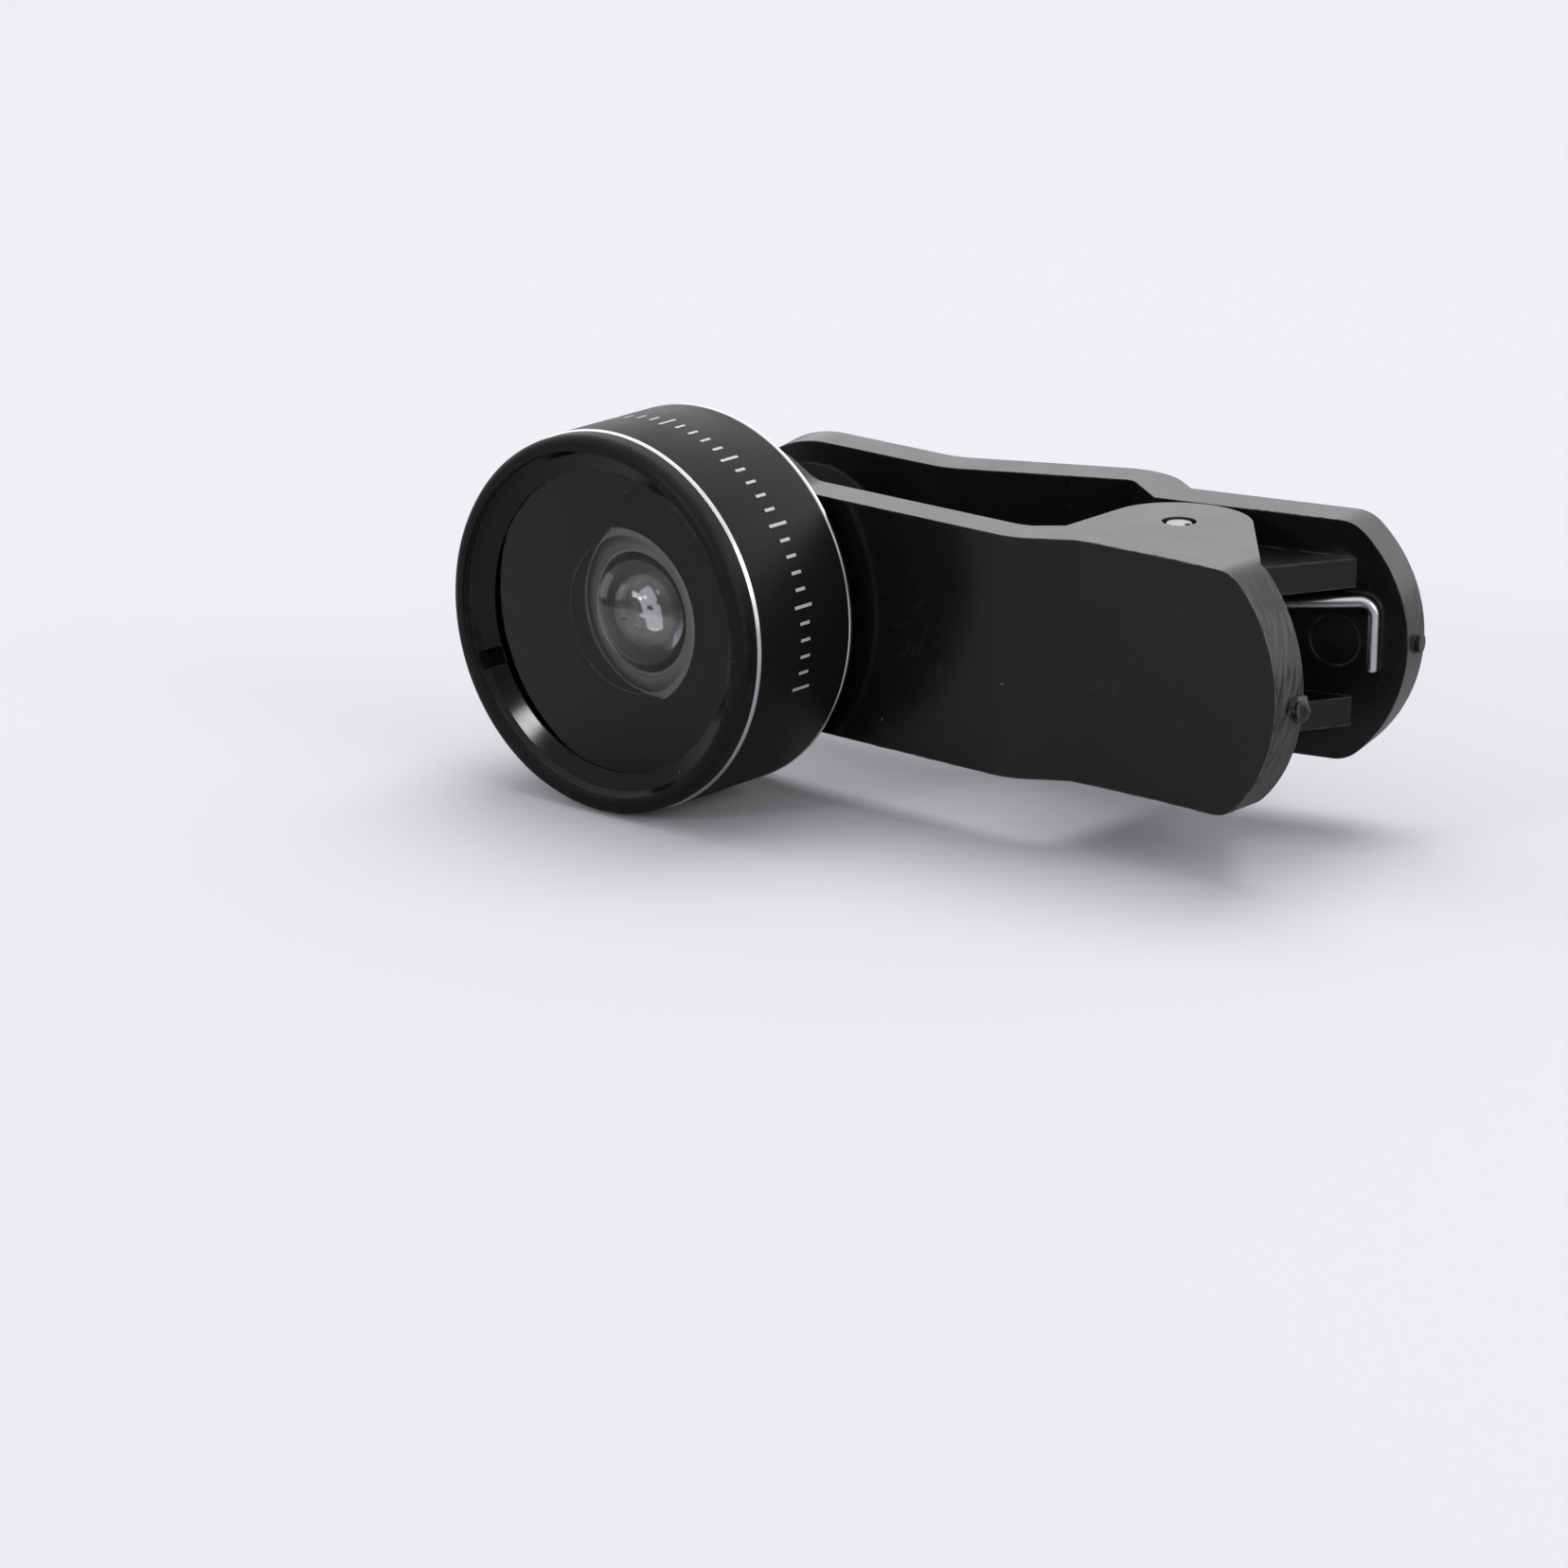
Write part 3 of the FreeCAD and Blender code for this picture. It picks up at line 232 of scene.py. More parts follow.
# %% Group: scratches
SCRATCH_SETS = (((300, 3000, 5200), 0.5), ((3600, 3000, 240), -0.35), ((900, 4000, 4000), 1.1))
CLUSTER_SCALE, CLUSTER_LEVELS, LINE_LEVELS = 170.0, (0.5, 0.62), (0.68, 0.74)
SCRATCHES, inputs, outputs = start_group("scratches", [("Amount", 0.5)], ["Mask"])
place = add(SCRATCHES, "ShaderNodeTexCoord").outputs["Object"]
broad_noise = add(SCRATCHES, "ShaderNodeTexNoise", Vector=place, Scale=CLUSTER_SCALE, Detail=2.0)
where = spread(SCRATCHES, broad_noise.outputs[0], *CLUSTER_LEVELS)
lines = []
for factors, slant in SCRATCH_SETS:
    turned = mapped(SCRATCHES, place, "Rotation", (0.0, slant, 0.0))
    thin = add(SCRATCHES, "ShaderNodeTexNoise", Scale=1.0, Detail=1.0,
               Vector=mapped(SCRATCHES, turned, "Scale", factors))
    lines.append(spread(SCRATCHES, thin.outputs[0], *LINE_LEVELS))
grouped = calc(SCRATCHES, "MULTIPLY", joined(SCRATCHES, "MAXIMUM", lines), where)
fill(SCRATCHES, outputs["Mask"], calc(SCRATCHES, "MULTIPLY", grouped, inputs["Amount"]))

# %% [markdown]
# Edges that are touched often turn pale and a little rough. The Bevel node gives the
# normal that the surface would have with a rounded edge. Where that differs from the
# true normal there is an edge, so the difference makes a mask without any painting,
# and noise frays it.

# %% Group: worn edges
EDGE_LEVELS, FRAY_LEVELS, LEAST_FRAYED = (0.01, 0.16), (0.38, 0.62), 0.25
WORN_EDGES, inputs, outputs = start_group(
    "worn_edges", [("Width", 0.0002), ("Amount", 0.5), ("Fray", 900.0)], ["Mask"])
rounded = add(WORN_EDGES, "ShaderNodeBevel", {"samples": 6}, Radius=inputs["Width"])
plain = add(WORN_EDGES, "ShaderNodeNewGeometry").outputs["Normal"]
same = add(WORN_EDGES, "ShaderNodeVectorMath", {"operation": "DOT_PRODUCT"})
fill(WORN_EDGES, same.inputs[0], rounded.outputs[0])
fill(WORN_EDGES, same.inputs[1], plain)
difference = calc(WORN_EDGES, "SUBTRACT", 1.0, same.outputs["Value"])
edge = spread(WORN_EDGES, difference, *EDGE_LEVELS)
place = add(WORN_EDGES, "ShaderNodeTexCoord").outputs["Object"]
fray = add(WORN_EDGES, "ShaderNodeTexNoise", Vector=place, Scale=inputs["Fray"], Detail=4.0)
ragged = spread(WORN_EDGES, fray.outputs[0], *FRAY_LEVELS, start=LEAST_FRAYED)
frayed = calc(WORN_EDGES, "MULTIPLY", edge, ragged)
fill(WORN_EDGES, outputs["Mask"], calc(WORN_EDGES, "MULTIPLY", frayed, inputs["Amount"]))

# %% [markdown]
# A little dust lies on most surfaces. Voronoi cells give scattered points: near
# the middle of a cell the distance is small, and a second, random value of the cell
# decides which few cells carry a speck at all.

# %% Group: dust
SPECK_RADII = (0.05, 0.16)
DUST, inputs, outputs = start_group("dust", [("Scale", 900.0), ("Share", 0.04)], ["Mask"])
place = add(DUST, "ShaderNodeTexCoord").outputs["Object"]
cells = add(DUST, "ShaderNodeTexVoronoi", Vector=place, Scale=inputs["Scale"])
speck = spread(DUST, cells.outputs["Distance"], *SPECK_RADII, start=1.0, end=0.0)
chance = add(DUST, "ShaderNodeSeparateColor", Color=cells.outputs["Color"]).outputs[0]
chosen = calc(DUST, "LESS_THAN", chance, inputs["Share"])
fill(DUST, outputs["Mask"], calc(DUST, "MULTIPLY", speck, chosen))

# %% [markdown]
# The lens parts are turned on a lathe, and the tool leaves rings around the lens
# axis, which is the Y axis here. The distance from that axis, plus the place along
# it, goes through a sine, so flat faces and cylinders both get their rings.

# %% Group: turning lines
TURNING, inputs, outputs = start_group("turning_lines", [("Pitch", 0.00012)], ["Height"])
place = add(TURNING, "ShaderNodeTexCoord").outputs["Object"]
split = add(TURNING, "ShaderNodeSeparateXYZ", Vector=place).outputs
square = calc(TURNING, "ADD", calc(TURNING, "MULTIPLY", split[0], split[0]),
              calc(TURNING, "MULTIPLY", split[2], split[2]))
along = calc(TURNING, "ADD", calc(TURNING, "SQRT", square), split[1])
phase = calc(TURNING, "DIVIDE", calc(TURNING, "MULTIPLY", along, 2 * math.pi), inputs["Pitch"])
wave = calc(TURNING, "SINE", phase)
fill(TURNING, outputs["Height"], calc(TURNING, "MULTIPLY_ADD", wave, 0.5, 0.5))

# %% [markdown]
# ## Starting a finish
#
# All finishes are Principled shaders. The first helper makes a bare one. The second
# gives it plain values, and mixes in the layers that change over the surface: each
# layer is a mask with the colour and roughness that it brings. Heights are added up
# and go through one Bump node, so that the effects don't hide each other.

# %% Helpers for finishes
MICRON = 0.000001
TONE_SCALE, DARKEST, LIGHTEST = 330.0, 0.82, 1.18
PATCHY_ROUGHNESS = 0.16


def bare_material(name):
    """A new material with only a Principled shader; returns material, tree and shader."""
    material = bpy.data.materials.new(name)
    material.use_nodes = True
    tree = material.node_tree
    tree.nodes.clear()
    shader = tree.nodes.new("ShaderNodeBsdfPrincipled")
    output = tree.nodes.new("ShaderNodeOutputMaterial")
    tree.links.new(shader.outputs[0], output.inputs["Surface"])
    print("finish", name)
    return material, tree, shader


def finish(name, colour, roughness, layers=(), heights=(), **plain_values):
    """A Principled material. layers are (maker of mask, colour, roughness), heights are
    (maker of height, depth in micrometres), and each maker gets the material's tree."""
    material, tree, shader = bare_material(name)
    material.diffuse_color = (*colour, 1.0)
    for socket, value in plain_values.items():
        shader.inputs[socket.replace("_", " ")].default_value = value
    place = add(tree, "ShaderNodeTexCoord").outputs["Object"]
    tone = add(tree, "ShaderNodeTexNoise", Vector=place, Scale=TONE_SCALE, Detail=5.0).outputs[0]
    darker = [part * DARKEST for part in colour]
    lighter = [min(part * LIGHTEST, 1.0) for part in colour]
    colour_now = mixed(tree, "RGBA", tone, (*darker, 1.0), (*lighter, 1.0))
    patches = use_group(tree, GRAIN, Unevenness=PATCHY_ROUGHNESS)["Patches"]
    rough_now = calc(tree, "ADD", roughness, patches)
    for make_mask, layer_colour, layer_roughness in layers:
        mask = make_mask(tree)
        colour_now = mixed(tree, "RGBA", mask, colour_now, (*layer_colour, 1.0))
        rough_now = mixed(tree, "FLOAT", mask, rough_now, layer_roughness)
    fill(tree, shader.inputs["Base Color"], colour_now)
    fill(tree, shader.inputs["Roughness"], rough_now)
    raised = []
    for make_height, depth in heights:
        raised.append(calc(tree, "MULTIPLY", make_height(tree), depth * MICRON))
    if raised:
        total = joined(tree, "ADD", raised)
        bump = add(tree, "ShaderNodeBump", Height=total, Distance=1.0, Strength=1.0)
        fill(tree, shader.inputs["Normal"], bump.outputs[0])
    return material


# %% [markdown]
# The makers say which effect a layer or a height uses. Each returns a function that
# places its group in a material's tree. Widths and pitches are in millimetres here.

# %% Makers of masks and heights
def grain(scale):
    """Height of the fine grain."""
    return lambda tree: use_group(tree, GRAIN, Scale=scale)["Height"]


def scratches(amount):
    """Mask of the scratches."""
    return lambda tree: use_group(tree, SCRATCHES, Amount=amount)["Mask"]


def worn(width, amount, fray=900.0):
    """Mask of the worn edges."""
    values = {"Width": width * MM, "Amount": amount, "Fray": fray}
    return lambda tree: use_group(tree, WORN_EDGES, **values)["Mask"]


def dust(scale, share):
    """Mask of the dust specks, where share is the part of the cells that carry one."""
    return lambda tree: use_group(tree, DUST, Scale=scale, Share=share)["Mask"]


def turning(pitch):
    """Height of the turning lines."""
    return lambda tree: use_group(tree, TURNING, Pitch=pitch * MM)["Height"]


# %% [markdown]
# ## The levers' plastic
#
# The clip is moulded in glossy black plastic. It is nearly black in itself, and what
# the eye sees is mostly what it mirrors: soft grey on top, almost nothing in front.
# The handles' end faces, where fingers and other things rub, are scuffed to grey.
# That wear is a layer that grows towards the tips, by the distance along X, and only
# on faces that look along X. The two levers differ a little in gloss and in wear.

# %% Finish: moulded plastic
SCUFF_SLANT, SCUFF_STRETCH, SCUFF_AMOUNT = 0.32, (700, 5200, 380), 0.75
STROKE_LEVELS, FACING_LEVELS = (0.44, 0.60), (0.30, 0.72)
CLUMP_SCALE, CLUMP_LEVELS, LEAST_CLUMP = 420.0, (0.34, 0.60), 0.15


def near_tip(tree, start, end):
    """Scuffs on the handle's end, growing along X between two places in mm, and only on
    what faces along X."""
    found = add(tree, "ShaderNodeTexCoord").outputs
    place = found["Object"]
    along = add(tree, "ShaderNodeSeparateXYZ", Vector=place).outputs[0]
    facing = add(tree, "ShaderNodeSeparateXYZ", Vector=found["Normal"]).outputs[0]
    rise = calc(tree, "MULTIPLY", spread(tree, along, start * MM, end * MM),
                spread(tree, facing, *FACING_LEVELS))
    slanted = mapped(tree, place, "Rotation", (SCUFF_SLANT, 0.0, 0.0))
    fine = add(tree, "ShaderNodeTexNoise", Scale=1.0, Detail=4.0,
               Vector=mapped(tree, slanted, "Scale", SCUFF_STRETCH)).outputs[0]
    broad = add(tree, "ShaderNodeTexNoise", Scale=CLUMP_SCALE, Detail=3.0, Vector=place).outputs[0]
    strokes = spread(tree, fine, *STROKE_LEVELS)
    clumps = spread(tree, broad, *CLUMP_LEVELS, start=LEAST_CLUMP)
    return joined(tree, "MULTIPLY", [strokes, clumps, rise, SCUFF_AMOUNT])


def lever_plastic(name, colour, roughness, tip, scuffed, edge):
    """A lever's plastic: tip is where the scuffs start and end, in mm, scuffed is their
    colour, and edge is the worn edges' width in mm, colour and roughness."""
    return finish(
        name, colour, roughness,
        layers=[(lambda tree: near_tip(tree, *tip), scuffed, 0.5),
                (scratches(0.16), (0.06, 0.06, 0.065), 0.4),
                (worn(edge[0], 0.85), edge[1], edge[2]),
                (dust(1500.0, 0.006), (0.22, 0.215, 0.22), 0.8)],
        heights=[(grain(2600.0), 1.2), (grain(420.0), 5), (grain(110.0), 30), (scratches(0.3), -2)],
        IOR=1.49)


moulded_black = lever_plastic(
    "moulded_black_plastic", (0.0065, 0.0065, 0.007), 0.23, tip=(40.6, 43.6),
    scuffed=(0.115, 0.113, 0.12), edge=(0.20, (0.19, 0.19, 0.20), 0.40))
rear_black = lever_plastic(
    "rear_black_plastic", (0.0065, 0.0065, 0.0075), 0.27, tip=(39.2, 42.2),
    scuffed=(0.13, 0.127, 0.135), edge=(0.24, (0.14, 0.14, 0.148), 0.42))
gate_plastic = finish(
    "torn_black_plastic", (0.012, 0.012, 0.013), 0.09,
    layers=[(worn(0.12, 0.9), (0.30, 0.30, 0.31), 0.25)],
    heights=[(grain(1500.0), 90), (grain(5200.0), 10)], IOR=1.52)

# %% [markdown]
# ## The lens metals
#
# The barrel and its rings are aluminium, turned and then anodised black: satin, with
# very fine turning rings. The two bright rings are cut after the anodising, so the
# bare metal shows. The pin and the spring are steel.

# %% Finish: metals
barrel_black = finish(
    "satin_black_aluminium", (0.0100, 0.0100, 0.0110), 0.44,
    layers=[(scratches(0.25), (0.07, 0.07, 0.075), 0.4),
            (worn(0.10, 0.55, 2400.0), (0.16, 0.16, 0.17), 0.35),
            (dust(900.0, 0.010), (0.45, 0.44, 0.45), 0.85)],
    heights=[(turning(0.09), 0.8), (grain(6500.0), 2.2)], IOR=1.5,
    Specular_IOR_Level=0.20)
ring_black = finish(
    "turned_black_ring", (0.004, 0.004, 0.0045), 0.13,
    layers=[(worn(0.08, 0.5, 3000.0), (0.14, 0.14, 0.15), 0.3),
            (dust(2600.0, 0.02), (0.40, 0.39, 0.40), 0.9)],
    heights=[(turning(0.11), 0.5), (grain(5000.0), 0.4)], IOR=1.5,
    Specular_IOR_Level=0.34)
inner_black = finish(
    "matt_black_inside", (0.010, 0.010, 0.010), 0.55,
    layers=[(dust(1500.0, 0.02), (0.35, 0.34, 0.35), 0.9)],
    heights=[(turning(0.25), 6), (grain(5200.0), 2)], IOR=1.45)
base_black = finish(
    "mount_black_aluminium", (0.009, 0.009, 0.010), 0.36,
    layers=[(worn(0.10, 0.5, 2400.0), (0.18, 0.18, 0.19), 0.35)],
    heights=[(turning(0.2), 4), (grain(6000.0), 2)], IOR=1.5)
bright_cut = finish(
    "bright_cut_aluminium", (0.90, 0.90, 0.91), 0.20,
    layers=[(dust(1600.0, 0.05), (0.30, 0.30, 0.30), 0.6)],
    heights=[(turning(0.05), 0.8), (grain(7000.0), 0.6)], Metallic=1.0)
pin_finish = finish(
    "cut_pin_steel", (0.42, 0.41, 0.40), 0.32,
    layers=[(scratches(0.9), (0.35, 0.34, 0.33), 0.5),
            (dust(1800.0, 0.05), (0.12, 0.11, 0.10), 0.7)],
    heights=[(grain(3800.0), 10), (grain(9000.0), 4)], Metallic=1.0)
spring_finish = finish(
    "spring_steel_wire", (0.80, 0.80, 0.82), 0.28,
    layers=[(scratches(0.2), (0.45, 0.45, 0.47), 0.4),
            (dust(2200.0, 0.01), (0.2, 0.2, 0.21), 0.6)],
    heights=[(grain(5200.0), 4)], Metallic=1.0)

# %% [markdown]
# ## Pads, film and print
#
# The jaw pads are soft black rubber, matt and a little dusty. The stop between the
# small glasses is black film. The spacer and the baffle behind the front glass are
# grey, a painted reflection that stands in for the sheen mirrored in the hollow of the
# front glass, and gives the pale ring around the middle of the lens.
# White print is nearly plain, and only its slightly uneven tone tells it from paint.

# %% Finish: pads, film and print
pad_black = finish(
    "soft_pad_rubber", (0.016, 0.016, 0.017), 0.72,
    layers=[(worn(0.3, 0.4, 1200.0), (0.06, 0.06, 0.062), 0.85),
            (dust(600.0, 0.05), (0.24, 0.23, 0.23), 0.95)],
    heights=[(grain(2200.0), 35), (grain(6200.0), 12)], IOR=1.5, Sheen_Weight=0.12)
film_black = finish(
    "black_film", (0.010, 0.010, 0.010), 0.6, heights=[(grain(6000.0), 3)], IOR=1.45)
# Painted reflection: this grey stands in for the sheen that the hollow of the front glass mirrors.
painted_sheen_grey = finish(
    "grey_baffle_painted_sheen", (0.25, 0.25, 0.26), 0.55, heights=[(grain(6000.0), 2)], IOR=1.45)


def uneven(tree):
    """A weak and grainy mask."""
    return calc(tree, "MULTIPLY", grain(5200.0)(tree), 0.25)


print_white = finish(
    "white_print", (0.80, 0.80, 0.80), 0.5, layers=[(uneven, (0.45, 0.45, 0.46), 0.6)],
    heights=[(grain(6000.0), 2)], IOR=1.45)

# %% [markdown]
# ## Glass
#
# The elements are real glass here: light passes through and bends by its index, and
# each face mirrors two or three percent, about half of what bare glass does, because
# such glass is coated. The nested grey rings in the middle of the lens come partly from
# that, and partly from the painted grey ring and film behind the front glass. The
# inner glasses are tinted grey, which is painted shade: it dims the bright backdrop seen
# through the lens, where a phone would stand dark behind it.
# A few specks of dust on the front are rough and pale.

# %% Finish: glass
COATED_GLOSS = 0.28
SPECK_SCALE, SPECK_ROUGHNESS, SPECK_COLOUR = 2200.0, 0.5, (0.75, 0.75, 0.75, 1.0)


def glass(name, index, tint, dusty):
    """A coated glass, clear or with a tint, that is rough only where a speck of dust lies; a grey
    tint is painted shade.
    """
    material, tree, shader = bare_material(name)
    shader.inputs["IOR"].default_value = index
    shader.inputs["Transmission Weight"].default_value = 1.0
    shader.inputs["Specular IOR Level"].default_value = COATED_GLOSS
    specks = use_group(tree, DUST, Scale=SPECK_SCALE, Share=dusty)["Mask"]
    fill(tree, shader.inputs["Roughness"], calc(tree, "MULTIPLY", specks, SPECK_ROUGHNESS))
    fill(tree, shader.inputs["Base Color"], mixed(tree, "RGBA", specks, (*tint, 1.0), SPECK_COLOUR))
    return material


front_glass = glass("front_glass", 1.52, (0.97, 0.98, 0.97), 0.010)
# The inner glasses are tinted grey as painted shade, which dims the backdrop seen through the lens.
shade_tinted_glass = glass("shade_tinted_glass", 1.58, (0.74, 0.74, 0.76), 0.004)

# %% [markdown]
# ## Dressing the CAD nodes
#
# Most solids are right as they are and only need their finish. A node's material
# slots are filled from this list. Three of the nodes are made again further on, and
# are dressed all the same, so that the list is whole.

# %% Finishes on nodes
DRESS = {
    "front_lever": moulded_black,
    "rear_lever": rear_black,
    "hinge_pin": pin_finish,
    "front_jaw_pad": pad_black,
    "rear_jaw_pad": pad_black,
    "lens_barrel": barrel_black,
    "mount_base": base_black,
    "front_element": front_glass,
    "front_retaining_ring": ring_black,
    # The spacer and the baffle get the grey of the painted reflection.
    "front_spacer": painted_sheen_grey,
    "light_baffle": painted_sheen_grey,
    "second_element": shade_tinted_glass,
    "lens_cell": inner_black,
    "third_element": shade_tinted_glass,
    "spacer_sleeve": inner_black,
    "aperture_stop": film_black,
    "fourth_element": shade_tinted_glass,
    "rear_retaining_ring": inner_black,
    "torsion_spring": spring_finish,
}
for name, material in DRESS.items():
    for material_slot in nodes[name].material_slots:
        material_slot.material = material
print("dressed", len(DRESS), "of", len(nodes), "nodes")

# %% [markdown]
# ## Building pieces
#
# Pieces of our own start as plain lists of points and faces in millimetres. One
# helper turns them into an object in metres, gives it its finish and says which body
# carries it.

# %% Helper for pieces
MERGE_DISTANCE = 1e-8


def piece(name, points, faces, material, body, smooth_angle=35.0):
    """An object from points in millimetres; edges sharper than the angle stay crisp."""
    mesh = bpy.data.meshes.new(name)
    mesh.from_pydata([Vector(point) * MM for point in points], [], faces)
    form = bmesh.new()
    form.from_mesh(mesh)
    bmesh.ops.remove_doubles(form, verts=form.verts, dist=MERGE_DISTANCE)
    bmesh.ops.recalc_face_normals(form, faces=form.faces)
    form.to_mesh(mesh)
    form.free()
    mesh.materials.append(material)
    mesh.shade_smooth()
    mesh.set_sharp_from_angle(angle=math.radians(smooth_angle))
    made = bpy.data.objects.new(name, mesh)
    scene.collection.objects.link(made)
    if body:
        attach(made, body)
    print("%s: %d points" % (name, len(points)))
    return made


# %% [markdown]
# The lens parts are turned, so most pieces of our own are a profile of radius and depth
# that is swept around the lens axis. A real edge always has a small round, and it is
# what catches the light, so the last two helpers put an arc in place of a corner.

# %% Helpers for turned profiles
ROUND_STEPS = 4


def ring_points(profile, segments):
    """Points and faces of a closed profile of (radius, depth) turned around the lens axis."""
    points, faces = [], []
    count = len(profile)
    for step in range(segments):
        angle = 2 * math.pi * step / segments
        across, up = math.cos(angle), math.sin(angle)
        points += [(radius * across, -depth, radius * up) for radius, depth in profile]
    for step in range(segments):
        here, there = step * count, (step + 1) % segments * count
        for spot in range(count):
            after = (spot + 1) % count
            faces.append((here + spot, here + after, there + after, there + spot))
    return points, faces


def corner_round(before, corner, after, radius):
    """The points of a small round in place of one corner of a profile."""
    into = (Vector(corner) - Vector(before)).normalized()
    out = (Vector(after) - Vector(corner)).normalized()
    bend = into.angle(out)
    reach = radius * math.tan(bend / 2)
    start, end = Vector(corner) - into * reach, Vector(corner) + out * reach
    middle = Vector(corner) + (out - into).normalized() * (radius / math.cos(bend / 2))
    found = []
    for step in range(ROUND_STEPS + 1):
        arm = (start - middle).lerp(end - middle, step / ROUND_STEPS).normalized() * radius
        found.append(tuple(middle + arm))
    return found


def soften(profile):
    """Replace each profile corner (radius, depth, round) by a small round."""
    found = []
    for spot, corner in enumerate(profile):
        before, after = profile[spot - 1], profile[(spot + 1) % len(profile)]
        if corner[2] > 0:
            found += corner_round(before[:2], corner[:2], after[:2], corner[2])
        else:
            found.append(corner[:2])
    return found


# %% [markdown]
# ## The barrel
#
# The barrel is the largest turned part, and its front rim is what the eye meets
# first. It is made again here so that the rim gets its true soft round, the thread
# inside it its crests, and the bright rings a finish of their own. All sizes are in
# millimetres. A depth counts forwards along the lens axis, from the face that the
# front pad grips with. Each corner of the profile has its radius, its depth and the
# size of its round.

# %% Barrel
SEGMENTS = 256
BARREL, BEZEL, CELL_BORE, NECK_BORE = 13.0, 12.88, 9.40, 8.60
BACK, SHELF, GLASS_SEAT, FRONT = 4.36, 6.56, 11.0, 15.52
THREAD_CREST, THREAD_GROOVE = 11.80, 11.92
THREAD_START, THREAD_PITCH, THREAD_TURNS = 15.30, 0.30, 2
THREAD_SHAPE = ((THREAD_CREST, 0.04), (THREAD_GROOVE, -0.08), (THREAD_CREST, -0.20))

thread = []
for crest in range(THREAD_TURNS):
    start = THREAD_START - THREAD_PITCH * crest
    thread += [(radius, start + step, 0) for radius, step in THREAD_SHAPE]
rear_groove = [(12.94, BACK, 0.05), (12.94, 4.66, 0), (BARREL, 4.66, 0.03)]
front_groove = [(BARREL, 13.70, 0.03), (12.86, 13.72, 0), (12.82, 14.00, 0), (BEZEL, 14.06, 0.02)]
rim = [(BEZEL, FRONT, 0.72), (11.86, FRONT, 0.05)]
bore = [(THREAD_CREST, GLASS_SEAT, 0), (CELL_BORE, GLASS_SEAT, 0),
        (CELL_BORE, SHELF, 0), (NECK_BORE, SHELF, 0)]
barrel_profile = soften([(NECK_BORE, BACK, 0)] + rear_groove + front_groove + rim + thread + bore)
points, faces = ring_points(barrel_profile, SEGMENTS)
barrel = piece("barrel_shell", points, faces, barrel_black, "lens")
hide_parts("lens_barrel")

# %% [markdown]
# ## The front glass
#
# The front glass sits low in its ring, with a nearly flat front and a deep hollow
# behind. The model's dome is rounder and would mirror the ring around it as a wide
# black crescent, which the real one doesn't show. So the glass is made again with a
# flatter front, on the same seat and the same edge. Its profile starts and ends on
# the axis, where the points of all the segments are merged into one.

# %% Front glass
FRONT_CURVE, SIGHT_RADIUS, SIGHT_DEPTH = 120.0, 10.35, 13.85
BOWL_CURVE, BOWL_MOUTH = 9.5, 6.05
GLASS_SIDE, STEP_RADIUS, STEP_DEPTH = 11.75, 10.42, 13.62


def cap_of_sphere(curve, mouth, depth, count):
    """Points (radius, depth) from the axis to the mouth, on a curve bulging forwards."""
    base = math.sqrt(curve ** 2 - mouth ** 2)
    spots = [mouth * step / count for step in range(count + 1)]
    return [(spot, depth + math.sqrt(curve ** 2 - spot ** 2) - base) for spot in spots]


front_profile = cap_of_sphere(FRONT_CURVE, SIGHT_RADIUS, SIGHT_DEPTH, count=20)
front_profile += [(STEP_RADIUS, STEP_DEPTH), (GLASS_SIDE, STEP_DEPTH), (GLASS_SIDE, GLASS_SEAT)]
front_profile += cap_of_sphere(BOWL_CURVE, BOWL_MOUTH, GLASS_SEAT, count=28)[::-1]
points, faces = ring_points(front_profile, SEGMENTS)
front_lens = piece("front_glass_lens", points, faces, front_glass, "lens",
                   smooth_angle=20.0)
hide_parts("front_element")
print("glass at the middle: %.2f mm" % (front_profile[0][1] - front_profile[-1][1]))

# %% [markdown]
# Lens makers paint the flat back and the rim of the front glass black, so that only
# the hollow in its middle passes light. The paint is a thin shell on the back of the
# glass and just inside its side: light that reaches it ends there, and the wide dark
# field around the middle of the lens comes from it. The second glass has a grey ring
# of its own, from its dome outwards: a painted reflection, a pale sheet where the glasses
# would mirror a grey sheen.

# %% Black paint of the front glass, and a grey painted reflection ring on the second
PAINT_BACK, PAINT_FRONT, PAINT_TOP = GLASS_SEAT - 0.01, GLASS_SEAT + 0.03, 13.25
PAINT_INSIDE, PAINT_OUTSIDE = 11.66, 11.72
SECOND_INSIDE, SECOND_OUTSIDE, SECOND_BACK, SECOND_FRONT = 4.86, 6.78, 9.73, 9.77

paint_black = finish("edge_paint", (0.0006, 0.0006, 0.0007), 0.9, Specular_IOR_Level=0.0)
paint_profile = [(BOWL_MOUTH, PAINT_BACK), (BOWL_MOUTH, PAINT_FRONT), (PAINT_INSIDE, PAINT_FRONT),
                 (PAINT_INSIDE, PAINT_TOP), (PAINT_OUTSIDE, PAINT_TOP), (PAINT_OUTSIDE, PAINT_BACK)]
points, faces = ring_points(paint_profile, SEGMENTS)
piece("front_glass_paint", points, faces, paint_black, "lens")
# A pale grey ring on the second glass: painted reflection, standing in for a mirrored sheen.
second_profile = [(SECOND_INSIDE, SECOND_BACK), (SECOND_INSIDE, SECOND_FRONT),
                  (SECOND_OUTSIDE, SECOND_FRONT), (SECOND_OUTSIDE, SECOND_BACK)]
points, faces = ring_points(second_profile, SEGMENTS // 2)
piece("second_glass_painted_sheen", points, faces, painted_sheen_grey, "lens")

# %% [markdown]
# Each bright ring is a narrow band of bare metal, cut a little into the barrel at
# the front and standing a little proud at the back, so that both face the light.

